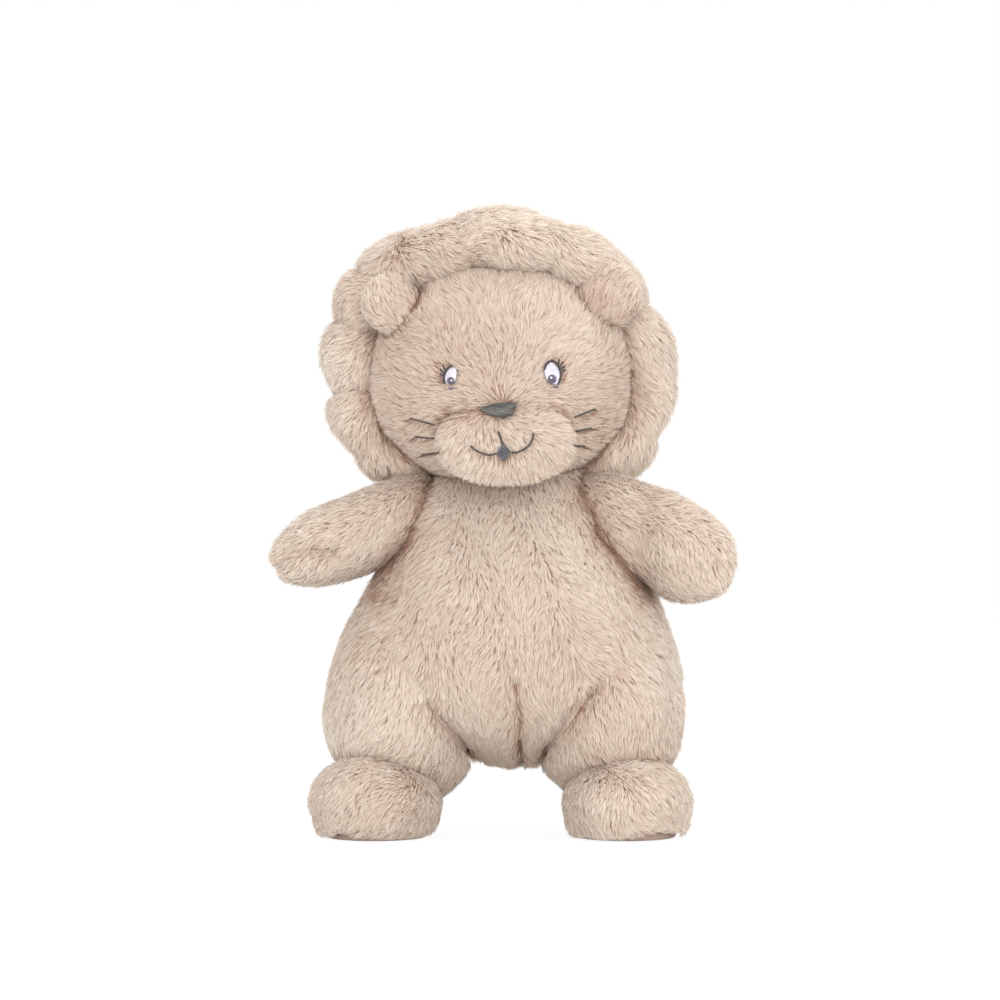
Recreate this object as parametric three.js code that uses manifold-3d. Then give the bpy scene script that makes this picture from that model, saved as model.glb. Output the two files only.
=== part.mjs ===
// Plush lion with a wind-up musical movement in its back, standing on two flat soles.
// Millimetres, +Z up. The face looks along -Y, the winding key points along +Y, the floor is Z = 0.
// Left and right are as seen from the front, so left is -X.
import * as THREE from 'three';
import { mergeVertices } from 'three/addons/utils/BufferGeometryUtils.js';
import Module from 'manifold-3d';

// Clearances
const seam = 0.3; // between two sewn or touching pieces
const running = 0.2; // round a shaft in its bearing
const backlash = 0.24; // taken off each side of a tooth

// Feet and soles
const soleThick = 3;
const soleInset = 5.2; // sole edge inside the widest part of the foot
const footTop = 36;
const footSink = 3; // foot's middle under half its height, as its bottom is cut flat
const footLength = 88;
const footWidth = 55;
const footAhead = 24; // foot's middle in front of the toy's middle
const footOut = { left: 53, right: 49.5 };

// Legs
const legTuck = 27; // leg's lower end below the foot's top
const legTop = 98;
const legOut = { left: [46, 41, 36], right: [48, 41, 35.5] }; // from the leg's lower end up
const legAhead = [15, 12, 3];
const legHalfWidths = [25, 31, 33, 31, 24];
const legHalfDepths = [28, 36, 41, 40, 28];

// Torso, from its lower end to the neck
const torsoBottom = 28;
const torsoTop = 157;
const torsoHalfWidths = [52, 75, 76.5, 72, 65, 58, 53, 53, 50];
const torsoHalfDepths = [40, 54, 57, 56, 53, 49, 43, 38, 34];
const torsoAhead = 4;
const torsoSway = 2; // waist to the right of the toy's middle

// Head and muzzle
const neckTuck = 14; // head's lower end below the torso's top
const headHeight = 100;
const headHalfWidths = [53, 56, 55, 51, 44];
const headHalfDepths = [44, 48, 48.5, 46, 40];
const headAhead = 8;
const headOff = 2; // head's middle to the left of the toy's middle
const muzzleHalf = { wide: 29, deep: 12, high: 18.5 };
const muzzleDrop = 30.5; // muzzle's middle below the head's middle
const muzzleSink = 9; // muzzle's middle behind the face

// Ears
const earHalf = { wide: 13, deep: 7, high: 14.5 };
const earOut = { left: 43.5, right: 44.5 };
const earUp = { left: 25, right: 28.5 };
const earLean = 0.75; // radians off upright
const earAhead = 29.5;

// Mane, a folded and gathered strip round the face
const maneFolds = [-56, -22, 26, 66, 108, 144, 162, 187, 209, 236]; // degrees, the crown is at 90
const maneRadius = 58; // middle of the roll
const maneReach = [-7, 0.5, -3, -4.5, -5.5, 2.5, 0.5, -1, -2.5, -9]; // added to the radius at each fold
const maneThick = 16; // half the roll, away from the head
const maneDeep = 17; // half the roll, front to back
const maneLobeRise = 5;
const maneBehind = 8; // ring behind the head's middle
const maneFringe = 28; // how far the crown's roll comes forward
const maneDrop = 2; // ring below the head's middle

// Arms
const armHalfWidths = { left: [18.5, 19.5, 18.3, 16.3, 13.5], right: [18.5, 19.5, 21, 21, 18.5] };
const armHalfDepths = [16, 17.5, 17.5, 17, 15];
const elbowUp = { left: 0, right: 2.5 }; // arm's middle over the straight line to the paw
const shoulder = { out: 16, below: 18 };
const paw = {
  left: { out: 97.3, down: 46, ahead: 16 },
  right: { out: 93, down: 50, ahead: 32 },
};

// Tail
const tailHalf = 5;
const tailRoot = { right: 12, up: 54, behind: 38 };
const tailBend = { right: 27, up: 46, behind: 55 };
const tailEnd = { right: 41, up: 29, behind: 56 };
const tuftHalf = { wide: 10, high: 14 };

// Embroidery
const stitchHigh = 1.1;
const threadWide = 1.2;
const eyeHalf = { wide: 4.2, high: 5 };
const eyeOut = { left: 20.6, right: 21.6 };
const eyeDrop = 2.6;
const noseHalf = { wide: 7.3, high: 2.8 };
const noseDrop = 17.3;
const mouthDrop = 18.3; // below the nose
const mouthReach = 11.6;
const whiskerLengths = [10.4, 8, 7];
const whiskerRises = [3, 0.9, -0.9]; // outer end over the inner one
const whiskerOut = { left: 32, right: 36 };
const whiskerDrop = { left: 22.1, right: 18.7 };
const whiskerStep = 6.7;
const whiskerDrawIn = 1.2; // each whisker's middle nearer the nose than the last

// Musical movement, from the winding arbor's middle and the case's back face
const keyUp = 76; // winding arbor over the floor
const caseBack = 22.5; // case's back face behind the toy's middle
const caseLeft = 46.5;
const caseRight = 21;
const caseHalfHeight = 25;
const caseDepth = 28;
const caseWall = 1.8;
const caseCorner = 9;
const caseSplit = 13;
const neckRadius = 6;
const neckProud = 1; // neck's end outside the cloth
const eyeletRadius = 9;
const eyeletThread = 1.5;
const bossHigh = 1.7;
const bossRadius = 3.2;
const bossInset = 8; // boss's middle inside the case's edges
const soundHoleRadius = 1.6;
const soundHoles = 8;
const soundRing = { left: 14, radius: 9 };
const bedplateThick = 2;
const bedplateRoom = 1.2; // between the bedplate's edge and the case's wall

// Winding train
const arborRadius = 2;
const cupRadius = 10.6;
const cupDepth = 13;
const cupWall = 1;
const springTurns = 4;
const springThick = 0.5;
const springInner = 3.4;
const greatTeeth = 40;
const pinionTeeth = 16;
const driveModule = 0.7;
const greatFace = 2.2;
const greatThick = 1.4;

// Pinned cylinder and comb
const cylinderRadius = 6.5;
const cylinderLength = 18;
const cylinderWall = 1;
const pinHigh = 0.8;
const pinWide = 0.5;
const pinsPerTooth = 4;
const cylinderEndGap = 1.2; // between the pinion and the cylinder
const shaftRadius = 1;
const combTeeth = 18;
const combThick = 1;
const combLength = 9.5;
const combSlot = 0.35;
const combBase = 5;
const combTipGap = 0.35; // between the tooth tips and the pins
const combScrewRadius = 2;
const combScrewInset = 4; // screw's middle inside the comb's ends
const screwHead = 1.3;

// Governor
const cylinderGearTeeth = 30;
const governorPinionTeeth = 10;
const wormWheelTeeth = 24;
const fineModule = 0.45;
const gearThick = 1.5;
const gearGap = 0.7; // from wheel to wheel along a shaft
const plateThick = 1.6;
const plateMargin = 2.6; // metal round a bearing
const wormRadius = 1.9;
const wormTurns = 4;
const brakeReach = 4.3;
const brakeHigh = 3;

// Winding key
const keySpan = 34;
const keyHigh = 15;
const keyThick = 2.4;
const keyHole = 3;
const keyHubRadius = 3.8;
const keyHubLength = 10;
const keyStandOff = 0.8; // key behind the neck's end

const wasm = await Module();
wasm.setup();

// Solids and geometries

// A closed geometry as a solid that can be cut and joined.
function solidOf(geometry) {
  const bare = geometry.clone();
  bare.deleteAttribute('normal');
  bare.deleteAttribute('uv');
  const merged = mergeVertices(bare, 1e-4);
  const index = merged.getIndex().array;
  const kept = [];
  for (let i = 0; i < index.length; i += 3) {
    const [a, b, c] = [index[i], index[i + 1], index[i + 2]];
    if (a !== b && b !== c && c !== a) kept.push(a, b, c);
  }
  return new wasm.Manifold(new wasm.Mesh({
    numProp: 3,
    vertProperties: new Float32Array(merged.getAttribute('position').array),
    triVerts: new Uint32Array(kept),
  }));
}

function geometryOf(solid) {
  const mesh = solid.getMesh();
  const geometry = new THREE.BufferGeometry();
  geometry.setAttribute('position', new THREE.BufferAttribute(mesh.vertProperties, 3));
  geometry.setIndex(new THREE.BufferAttribute(mesh.triVerts, 1));
  return geometry;
}

// The solid without what cuts it, and without any crumb that the cut leaves.
function carve(solid, ...cutters) {
  let rest = solid;
  for (const cutter of cutters) rest = rest.subtract(cutter);
  return rest.decompose().sort((a, b) => b.volume() - a.volume())[0];
}

function join(first, ...others) {
  return others.reduce((sum, next) => sum.add(next), first);
}

// A closed skin: point(turn, way) for turn and way from 0 to 1, with one pole at each end of way.
function closedSkin(point, around, along) {
  const positions = [];
  const faces = [];
  for (let row = 1; row < along; row += 1) {
    for (let k = 0; k < around; k += 1) positions.push(...point(k / around, row / along).toArray());
  }
  const low = positions.length / 3;
  positions.push(...point(0, 0).toArray(), ...point(0, 1).toArray());
  for (let k = 0; k < around; k += 1) {
    const next = (k + 1) % around;
    faces.push(low, next, k);
    const last = (along - 2) * around;
    faces.push(low + 1, last + k, last + next);
    for (let row = 0; row < along - 2; row += 1) {
      const [a, b] = [row * around + k, row * around + next];
      faces.push(a, b, b + around, a, b + around, a + around);
    }
  }
  const geometry = new THREE.BufferGeometry();
  geometry.setAttribute('position', new THREE.Float32BufferAttribute(positions, 3));
  geometry.setIndex(faces);
  return solidOf(geometry);
}

// A smooth value between equally spaced ones.
function spread(values, way) {
  const curve = new THREE.CatmullRomCurve3(values.map((value, i) => new THREE.Vector3(i, value, 0)));
  return curve.getPoint(way).y;
}

// A stuffed form that swells and tapers along a line, with oval sections and round ends.
function plump(form, gap = 0) {
  const line = new THREE.CatmullRomCurve3(form.line.map((p) => new THREE.Vector3(...p)));
  const side = new THREE.Vector3(...(form.side ?? [1, 0, 0]));
  const blunt = form.blunt ?? 2.4;
  return closedSkin((turn, way) => {
    const step = (1 - Math.cos(Math.PI * way)) / 2;
    const tangent = line.getTangent(step);
    const deepWay = tangent.clone().cross(side).normalize();
    const wideWay = deepWay.clone().cross(tangent);
    const end = 2 * step - 1;
    const round = Math.sqrt(Math.max(0, 1 - Math.abs(end) ** blunt));
    const angle = 2 * Math.PI * turn;
    return line.getPoint(step)
      .addScaledVector(tangent, gap * end)
      .addScaledVector(wideWay, (spread(form.wide, step) + gap) * round * Math.cos(angle))
      .addScaledVector(deepWay, (spread(form.deep, step) + gap) * round * Math.sin(angle));
  }, form.around ?? 20, form.along ?? 12);
}

// An outline in X and Z, from one Y to a lower one.
function slabXZ(shape, fromY, toY, curveSegments = 8) {
  const flat = new THREE.ExtrudeGeometry(shape, { depth: fromY - toY, bevelEnabled: false, curveSegments });
  return solidOf(flat.rotateX(Math.PI / 2).translate(0, fromY, 0));
}

// An outline in Y and Z, from one X to a higher one.
function slabYZ(shape, fromX, toX, curveSegments = 8) {
  const flat = new THREE.ExtrudeGeometry(shape, { depth: toX - fromX, bevelEnabled: false, curveSegments });
  return solidOf(flat.rotateY(Math.PI / 2).rotateX(Math.PI / 2).translate(fromX, 0, 0));
}

function rodY(radius, fromY, toY, x = 0, z = 0, sides = 16) {
  const rod = new THREE.CylinderGeometry(radius, radius, Math.abs(toY - fromY), sides);
  return solidOf(rod.translate(x, (fromY + toY) / 2, z));
}

function rodX(radius, fromX, toX, y = 0, z = 0, sides = 16) {
  const rod = new THREE.CylinderGeometry(radius, radius, Math.abs(toX - fromX), sides);
  return solidOf(rod.rotateZ(Math.PI / 2).translate((fromX + toX) / 2, y, z));
}

function roundedRectangle(left, right, low, high, corner) {
  const shape = new THREE.Shape();
  shape.moveTo(left + corner, low);
  shape.lineTo(right - corner, low);
  shape.absarc(right - corner, low + corner, corner, -Math.PI / 2, 0, false);
  shape.lineTo(right, high - corner);
  shape.absarc(right - corner, high - corner, corner, 0, Math.PI / 2, false);
  shape.lineTo(left + corner, high);
  shape.absarc(left + corner, high - corner, corner, Math.PI / 2, Math.PI, false);
  shape.lineTo(left, low + corner);
  shape.absarc(left + corner, low + corner, corner, Math.PI, 1.5 * Math.PI, false);
  return shape;
}

// How far a form's surface lies from its line on the deep side, at a height on an upright line.
function halfDepthAt(form, height) {
  const [low, high] = [form.line[0][2], form.line[form.line.length - 1][2]];
  const step = (height - low) / (high - low);
  return spread(form.deep, step) * Math.sqrt(1 - Math.abs(2 * step - 1) ** form.blunt);
}

// Scene graph helpers

const toy = new THREE.Group();
toy.name = 'plush_music_box';
const movement = new THREE.Group();
movement.position.set(0, caseBack, keyUp);
toy.add(movement);

const plushLook = { color: 0xd8c0ad, roughness: 0.95, metalness: 0 };
const plushShade = { color: 0xcdb29e, roughness: 0.95, metalness: 0 };
const threadDark = { color: 0x4d4a46, roughness: 0.6, metalness: 0 };
const threadWhite = { color: 0xefecf2, roughness: 0.55, metalness: 0 };
const caseLook = { color: 0xe9e6df, roughness: 0.45, metalness: 0 };
const brassLook = { color: 0xc9a45a, roughness: 0.3, metalness: 1 };
const steelLook = { color: 0xc3c6c9, roughness: 0.28, metalness: 1 };
const castLook = { color: 0xa7a9ab, roughness: 0.5, metalness: 1 };
const nylonLook = { color: 0xf2f0e8, roughness: 0.5, metalness: 0 };

function place(name, solid, look, group = toy) {
  const mesh = new THREE.Mesh(geometryOf(solid), new THREE.MeshStandardMaterial(look));
  mesh.name = name;
  group.add(mesh);
  return solid;
}

// Stuffed body

const torsoForm = {
  line: [[0, -torsoAhead, torsoBottom], [torsoSway, -torsoAhead, (torsoBottom + torsoTop) / 2],
    [0, -torsoAhead, torsoTop]],
  wide: torsoHalfWidths,
  deep: torsoHalfDepths,
  blunt: 3,
  around: 26,
  along: 16,
};

const headBottom = torsoTop - neckTuck;
const headMiddle = headBottom + headHeight / 2;
const headForm = {
  line: [[-headOff, -headAhead, headBottom], [-headOff, -headAhead, headMiddle],
    [-headOff, -headAhead, headBottom + headHeight]],
  wide: headHalfWidths,
  deep: headHalfDepths,
  blunt: 2.6,
  around: 26,
  along: 14,
};

const muzzleMiddle = {
  x: -headOff + 2,
  y: -headAhead - headHalfDepths[2] + muzzleSink,
  z: headMiddle - muzzleDrop,
};
const muzzleForm = {
  line: [[muzzleMiddle.x - muzzleHalf.wide, muzzleMiddle.y, muzzleMiddle.z],
    [muzzleMiddle.x + muzzleHalf.wide, muzzleMiddle.y, muzzleMiddle.z]],
  side: [0, 0, 1],
  wide: [muzzleHalf.high, muzzleHalf.high],
  deep: [muzzleHalf.deep, muzzleHalf.deep],
  blunt: 2.3,
  around: 16,
  along: 12,
};

function legForm(side) {
  const sign = side === 'left' ? -1 : 1;
  const bottom = footTop - legTuck;
  const heights = [bottom, (bottom + legTop) / 2, legTop];
  return {
    line: heights.map((z, i) => [sign * legOut[side][i], -legAhead[i], z]),
    wide: legHalfWidths,
    deep: legHalfDepths,
    blunt: 2.8,
    around: 18,
    along: 10,
  };
}

function footForm(sign, out) {
  const half = footLength / 2;
  const high = footTop / 2 + footSink;
  const [x, z] = [sign * out, footTop - high];
  return {
    line: [[x, -footAhead + half, z], [x, -footAhead, z], [x, -footAhead - half, z]],
    wide: [footWidth / 2 - 3, footWidth / 2, footWidth / 2 - 1],
    deep: [high - 2, high, high - 0.5],
    blunt: 2.6,
    around: 18,
    along: 10,
  };
}

function armForm(side) {
  const sign = side === 'left' ? -1 : 1;
  const reach = paw[side];
  const top = torsoTop - shoulder.below;
  const end = torsoTop - reach.down;
  return {
    line: [[sign * shoulder.out, -torsoAhead, top],
      [sign * (shoulder.out + reach.out) / 2, -torsoAhead - reach.ahead * 0.4,
        (top + end) / 2 + elbowUp[side]],
      [sign * reach.out, -torsoAhead - reach.ahead, end]],
    side: [0, 0, 1],
    wide: armHalfWidths[side],
    deep: armHalfDepths,
    blunt: 4,
    around: 16,
    along: 10,
  };
}

function earForm(sign, out, up) {
  const middle = new THREE.Vector3(-headOff + sign * out, -earAhead, headMiddle + up);
  const lean = new THREE.Vector3(sign * Math.sin(earLean), 0, Math.cos(earLean)).multiplyScalar(earHalf.high);
  return {
    line: [middle.clone().sub(lean).toArray(), middle.clone().add(lean).toArray()],
    side: [0, 1, 0],
    wide: [earHalf.deep, earHalf.deep],
    deep: [earHalf.wide, earHalf.wide],
    blunt: 2.4,
    around: 14,
    along: 8,
  };
}

// The mane: an open ring of lobes, thin at both ends under the cheeks, its crown rolled forward.
function maneSolid(gap = 0) {
  const middle = new THREE.Vector3(-headOff, -headAhead + maneBehind, headMiddle - maneDrop);
  const lobes = maneFolds.length - 1;
  return closedSkin((turn, way) => {
    const place = way * lobes;
    const fold = Math.min(Math.floor(place), lobes - 1);
    const degrees = maneFolds[fold] + (maneFolds[fold + 1] - maneFolds[fold]) * (place - fold);
    const angle = THREE.MathUtils.degToRad(degrees);
    const round = Math.sqrt(Math.max(0, 1 - Math.abs(2 * way - 1) ** 6));
    const crown = Math.max(0, Math.sin(angle)) ** 2;
    const lobe = Math.abs(Math.sin(Math.PI * place)) ** 0.7 - 0.6;
    const out = new THREE.Vector3(Math.cos(angle), 0, Math.sin(angle));
    const swell = maneLobeRise * lobe * (1 - 0.5 * crown);
    const thick = (maneThick + swell - 2 * crown + gap) * round;
    const deep = (maneDeep + swell + maneFringe * 0.3 * crown + gap) * round;
    const section = 2 * Math.PI * turn;
    return middle.clone()
      .addScaledVector(out, maneRadius + spread(maneReach, way) + thick * Math.cos(section))
      .add(new THREE.Vector3(0, -maneFringe * 0.6 * crown + deep * Math.sin(section), 0));
  }, 10, lobes * 5);
}

const backOfTorso = halfDepthAt(torsoForm, keyUp) - torsoAhead - caseBack;
const neckLength = backOfTorso + neckProud;
const caseOutline = (grow) => roundedRectangle(-caseLeft - grow, caseRight + grow,
  -caseHalfHeight - grow, caseHalfHeight + grow, caseCorner + grow);

// Room in the stuffing for the case and its neck, open at the back.
function movementRoom() {
  const room = slabXZ(caseOutline(seam), seam, -caseDepth - seam, 5);
  const neckRoom = rodY(neckRadius + seam, -seam, neckLength + 20, 0, 0, 20);
  return join(room, neckRoom).translate(0, caseBack, keyUp);
}

const torso = place('torso', carve(plump(torsoForm), movementRoom()), plushLook);
const torsoCut = plump(torsoForm, seam);
const head = place('head', carve(plump(headForm), torsoCut), plushLook);
const headCut = plump(headForm, seam);
place('muzzle', carve(plump(muzzleForm), headCut, torsoCut), plushLook);
const muzzleCut = plump(muzzleForm, seam);
place('mane', carve(maneSolid(), torsoCut, headCut), plushShade);
const maneCut = maneSolid(seam);

for (const [side, sign] of [['left', -1], ['right', 1]]) {
  const leg = legForm(side);
  place(`leg_${side}`, carve(plump(leg), torsoCut), plushLook);
  place(`arm_${side}`, carve(plump(armForm(side)), torsoCut, headCut, maneCut), plushLook);
  place(`ear_${side}`, carve(plump(earForm(sign, earOut[side], earUp[side])), headCut, maneCut), plushShade);

  // The sole is an oval of cloth, and the foot is cut flat over it.
  const foot = footForm(sign, footOut[side]);
  const soleShape = new THREE.Shape();
  soleShape.absellipse(0, 0, footWidth / 2 - soleInset, footLength / 2 - soleInset * 1.4, 0, 2 * Math.PI);
  const sole = new THREE.ExtrudeGeometry(soleShape, {
    depth: soleThick, bevelEnabled: false, curveSegments: 24,
  });
  place(`sole_${side}`, solidOf(sole.translate(sign * footOut[side], -footAhead, 0)), plushShade);
  const floor = new THREE.BoxGeometry(2 * footWidth, 2 * footLength, footTop);
  const floorCut = solidOf(floor.translate(sign * footOut[side], -footAhead, soleThick + seam - footTop / 2));
  place(`foot_${side}`, carve(plump(foot), floorCut, plump(leg, seam), torsoCut), plushLook);
}

const tailForm = {
  line: [tailRoot, tailBend, tailEnd].map((p) => [p.right, p.behind, p.up]),
  side: [0, 0, 1],
  wide: [tailHalf, tailHalf],
  deep: [tailHalf, tailHalf],
  blunt: 6,
  around: 8,
  along: 8,
};
const tuftForm = {
  line: [[tailEnd.right - 1, tailEnd.behind, tailEnd.up + tuftHalf.high * 0.3],
    [tailEnd.right + 5, tailEnd.behind - 1, tailEnd.up - tuftHalf.high * 1.7]],
  wide: [tuftHalf.wide * 0.8, tuftHalf.wide, tuftHalf.wide * 0.7],
  deep: [tuftHalf.wide * 0.8, tuftHalf.wide, tuftHalf.wide * 0.7],
  around: 12,
  along: 8,
};
const legCut = plump(legForm('right'), seam);
const footCut = plump(footForm(1, footOut.right), seam);
place('tail_tuft', carve(plump(tuftForm), legCut, torsoCut, footCut), plushShade);
place('tail', carve(plump(tailForm), torsoCut, legCut, plump(tuftForm, seam)), plushLook);

// Embroidery: an outline seen from the front, as a layer of thread over the face.

const faceCut = join(headCut, muzzleCut);
const faceOver = join(plump(headForm, seam + stitchHigh), plump(muzzleForm, seam + stitchHigh));
const threadLayer = faceOver.subtract(faceCut).subtract(torsoCut);

function stitched(name, shape, look) {
  const front = -headAhead - headHalfDepths[2] - 2 * muzzleHalf.deep;
  place(name, carve(slabXZ(shape, -headAhead, front, 8).intersect(threadLayer)), look);
}

// A thread's outline along a chain of points.
function threadShape(points) {
  const half = threadWide / 2;
  const curve = new THREE.SplineCurve(points.map(([x, z]) => new THREE.Vector2(x, z)));
  const steps = 4 * (points.length - 1);
  const [over, under] = [[], []];
  for (let i = 0; i <= steps; i += 1) {
    const at = curve.getPoint(i / steps);
    const along = curve.getTangent(i / steps);
    over.push(new THREE.Vector2(at.x - along.y * half, at.y + along.x * half));
    under.unshift(new THREE.Vector2(at.x + along.y * half, at.y - along.x * half));
  }
  return new THREE.Shape([...over, ...under]);
}

for (const [side, sign] of [['left', -1], ['right', 1]]) {
  const eye = new THREE.Shape();
  eye.absellipse(-headOff + sign * eyeOut[side], headMiddle - eyeDrop, eyeHalf.wide, eyeHalf.high,
    0, 2 * Math.PI);
  stitched(`eye_${side}`, eye, threadWhite);
}

const noseMiddle = { x: -headOff - 0.7, z: headMiddle - noseDrop };
const nose = new THREE.Shape();
nose.moveTo(noseMiddle.x - noseHalf.wide, noseMiddle.z + noseHalf.high);
nose.lineTo(noseMiddle.x + noseHalf.wide, noseMiddle.z + noseHalf.high);
nose.quadraticCurveTo(noseMiddle.x + noseHalf.wide, noseMiddle.z - noseHalf.high * 0.4,
  noseMiddle.x, noseMiddle.z - noseHalf.high);
nose.quadraticCurveTo(noseMiddle.x - noseHalf.wide, noseMiddle.z - noseHalf.high * 0.4,
  noseMiddle.x - noseHalf.wide, noseMiddle.z + noseHalf.high);
stitched('nose', nose, threadDark);

const mouthMiddle = { x: -headOff + 1.3, z: noseMiddle.z - mouthDrop };
const mouth = threadShape([
  [mouthMiddle.x - mouthReach, mouthMiddle.z + 4],
  [mouthMiddle.x - mouthReach * 0.7, mouthMiddle.z],
  [mouthMiddle.x, mouthMiddle.z + 1],
  [mouthMiddle.x + mouthReach * 0.7, mouthMiddle.z + 2],
  [mouthMiddle.x + mouthReach, mouthMiddle.z + 8.5],
]);
stitched('mouth', mouth, threadDark);

for (const [side, sign] of [['left', -1], ['right', 1]]) {
  for (let i = 0; i < 3; i += 1) {
    const x = -headOff + sign * (whiskerOut[side] - i * whiskerDrawIn);
    const z = headMiddle - whiskerDrop[side] - i * whiskerStep;
    const half = (sign * whiskerLengths[i]) / 2;
    const rise = whiskerRises[i] / 2;
    const whisker = threadShape([[x - half, z - rise], [x + half, z + rise]]);
    stitched(`whisker_${side}_${i + 1}`, whisker, threadDark);
  }
}

// Case of the movement, its back face at Y = 0 of the movement

const splitY = -caseSplit;
const [bossLeft, bossRight, bossUp] = [-caseLeft, caseRight, caseHalfHeight].map((edge) => (
  edge - Math.sign(edge) * bossInset));
const bossPlaces = [[bossLeft, -bossUp], [bossLeft, bossUp], [bossRight, bossUp], [bossRight, -bossUp]];
const bedplateBack = -caseWall - bossHigh - seam;

const backBox = slabXZ(caseOutline(0), 0, splitY, 5);
const backRoom = slabXZ(caseOutline(-caseWall), -caseWall, splitY - 1, 5);
const neck = rodY(neckRadius, -caseWall / 2, neckLength, 0, 0, 20);
const neckBore = rodY(arborRadius + running, -caseDepth, neckLength + 1, 0, 0, 12);
const bosses = bossPlaces.map(([x, z]) => rodY(bossRadius, -caseWall / 2, -caseWall - bossHigh, x, z, 10));
place('case_back', join(backBox.subtract(backRoom), neck, ...bosses).subtract(neckBore), caseLook, movement);

const frontBox = slabXZ(caseOutline(0), splitY - seam, -caseDepth, 5);
const frontRoom = slabXZ(caseOutline(-caseWall), splitY, -caseDepth + caseWall, 5);
const soundCutters = [];
for (let i = 0; i < soundHoles; i += 1) {
  const angle = (2 * Math.PI * i) / soundHoles;
  const x = -soundRing.left + soundRing.radius * Math.cos(angle);
  const z = soundRing.radius * Math.sin(angle);
  soundCutters.push(rodY(soundHoleRadius, -caseDepth - 1, -caseDepth + caseWall + 1, x, z, 8));
}
place('case_front', carve(frontBox.subtract(frontRoom), ...soundCutters), caseLook, movement);

// The eyelet is a ring of stitches in the cloth round the neck.
const eyelet = new THREE.TorusGeometry(eyeletRadius - eyeletThread, eyeletThread, 6, 20);
place('key_eyelet', carve(solidOf(eyelet.rotateX(Math.PI / 2).translate(0, backOfTorso, 0)),
  torsoCut.translate(0, -caseBack, -keyUp)), threadDark, movement);

// Bedplate, with a foot under each boss

const plateInset = caseWall + bedplateRoom;
const plateOutline = roundedRectangle(-caseLeft + plateInset, caseRight - plateInset,
  -caseHalfHeight + plateInset, caseHalfHeight - plateInset, caseCorner - plateInset);
const plateFront = bedplateBack - bedplateThick;
place('bedplate', carve(slabXZ(plateOutline, bedplateBack, plateFront, 5), neckBore), castLook, movement);

// Winding arbor, spring cup, mainspring and great wheel

const cupBack = plateFront - seam;
const cupFront = cupBack - cupDepth;
const cupShell = rodY(cupRadius, cupBack, cupFront, 0, 0, 32)
  .subtract(rodY(cupRadius - cupWall, cupBack - cupWall, cupFront - 1, 0, 0, 32));
place('spring_cup', carve(cupShell, neckBore), castLook, movement);

const greatBack = cupFront - seam;
const greatFront = greatBack - greatThick;
const keyHubStart = neckLength + keyStandOff;
const arborStart = greatFront - 1;
const arborEnd = keyHubStart + keyHubLength - 2;
place('winding_arbor', rodY(arborRadius, arborEnd, arborStart, 0, 0, 12), steelLook, movement);

// The mainspring is a strip wound from the arbor out to the cup's wall.
function springSolid() {
  const outer = cupRadius - cupWall - seam;
  const steps = springTurns * 12;
  const [out, inside] = [[], []];
  for (let i = 0; i <= steps; i += 1) {
    const radius = springInner + ((outer - springThick - springInner) * i) / steps;
    const angle = (2 * Math.PI * springTurns * i) / steps;
    const way = new THREE.Vector2(Math.cos(angle), Math.sin(angle));
    out.push(way.clone().multiplyScalar(radius + springThick));
    inside.unshift(way.multiplyScalar(radius));
  }
  return slabXZ(new THREE.Shape([...out, ...inside]), cupBack - cupWall - seam, cupFront + 1);
}
place('mainspring', springSolid(), steelLook, movement);

const greatRadius = (greatTeeth * driveModule) / 2;
const pinionRadius = (pinionTeeth * driveModule) / 2;
const toothRise = 0.75 * driveModule;

// A crown wheel: straight teeth stand on the rim of a disc and point back along +Y.
function greatWheelSolid() {
  const rim = greatRadius + greatFace / 2;
  const pitch = (Math.PI * driveModule) / 2;
  const root = pitch / 2 + toothRise * 0.35 - backlash / 2;
  const tip = pitch / 2 - toothRise * 0.35 - backlash;
  const tooth = new THREE.Shape([
    new THREE.Vector2(-root, -0.1),
    new THREE.Vector2(root, -0.1),
    new THREE.Vector2(tip, 2 * toothRise),
    new THREE.Vector2(-tip, 2 * toothRise),
  ]);
  const teeth = [];
  for (let i = 0; i < greatTeeth; i += 1) {
    const block = new THREE.ExtrudeGeometry(tooth, { depth: greatFace, bevelEnabled: false });
    block.translate(0, 0, rim - greatFace);
    block.rotateY((2 * Math.PI * i) / greatTeeth + Math.PI / 2);
    teeth.push(solidOf(block.translate(0, greatBack, 0)));
  }
  return join(rodY(rim + 0.4, greatBack, greatFront, 0, 0, greatTeeth), ...teeth);
}
const wheelBore = rodY(arborRadius + 0.05, greatBack + 3, greatFront - 1, 0, 0, 12);
place('great_wheel', carve(greatWheelSolid(), wheelBore), brassLook, movement);

// Spur wheels

// Tips and roots lie on two circles, and the flanks between them are straight.
function spurSolid(teeth, module, fromX, toX, y, z, boreRadius, phase) {
  const radius = (teeth * module) / 2;
  const rise = 0.75 * module;
  const pitch = (2 * Math.PI) / teeth;
  const slack = backlash / radius;
  const points = [];
  for (let i = 0; i < teeth; i += 1) {
    const middle = pitch * (i + phase);
    const tip = pitch * 0.25 - (rise * 0.35) / radius - slack / 2;
    const root = pitch * 0.25 + (rise * 0.35) / radius - slack / 2;
    points.push([radius - rise * 1.2, middle - root], [radius + rise, middle - tip],
      [radius + rise, middle + tip], [radius - rise * 1.2, middle + root]);
  }
  const outline = points.map(([r, a]) => new THREE.Vector2(r * Math.cos(a), r * Math.sin(a)));
  const wheel = slabYZ(new THREE.Shape(outline), fromX, toX);
  return wheel.translate(0, y, z).subtract(rodX(boreRadius, fromX - 1, toX + 1, y, z, 12));
}

// Pinned cylinder: its shaft runs along X on the great wheel's middle line

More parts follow.
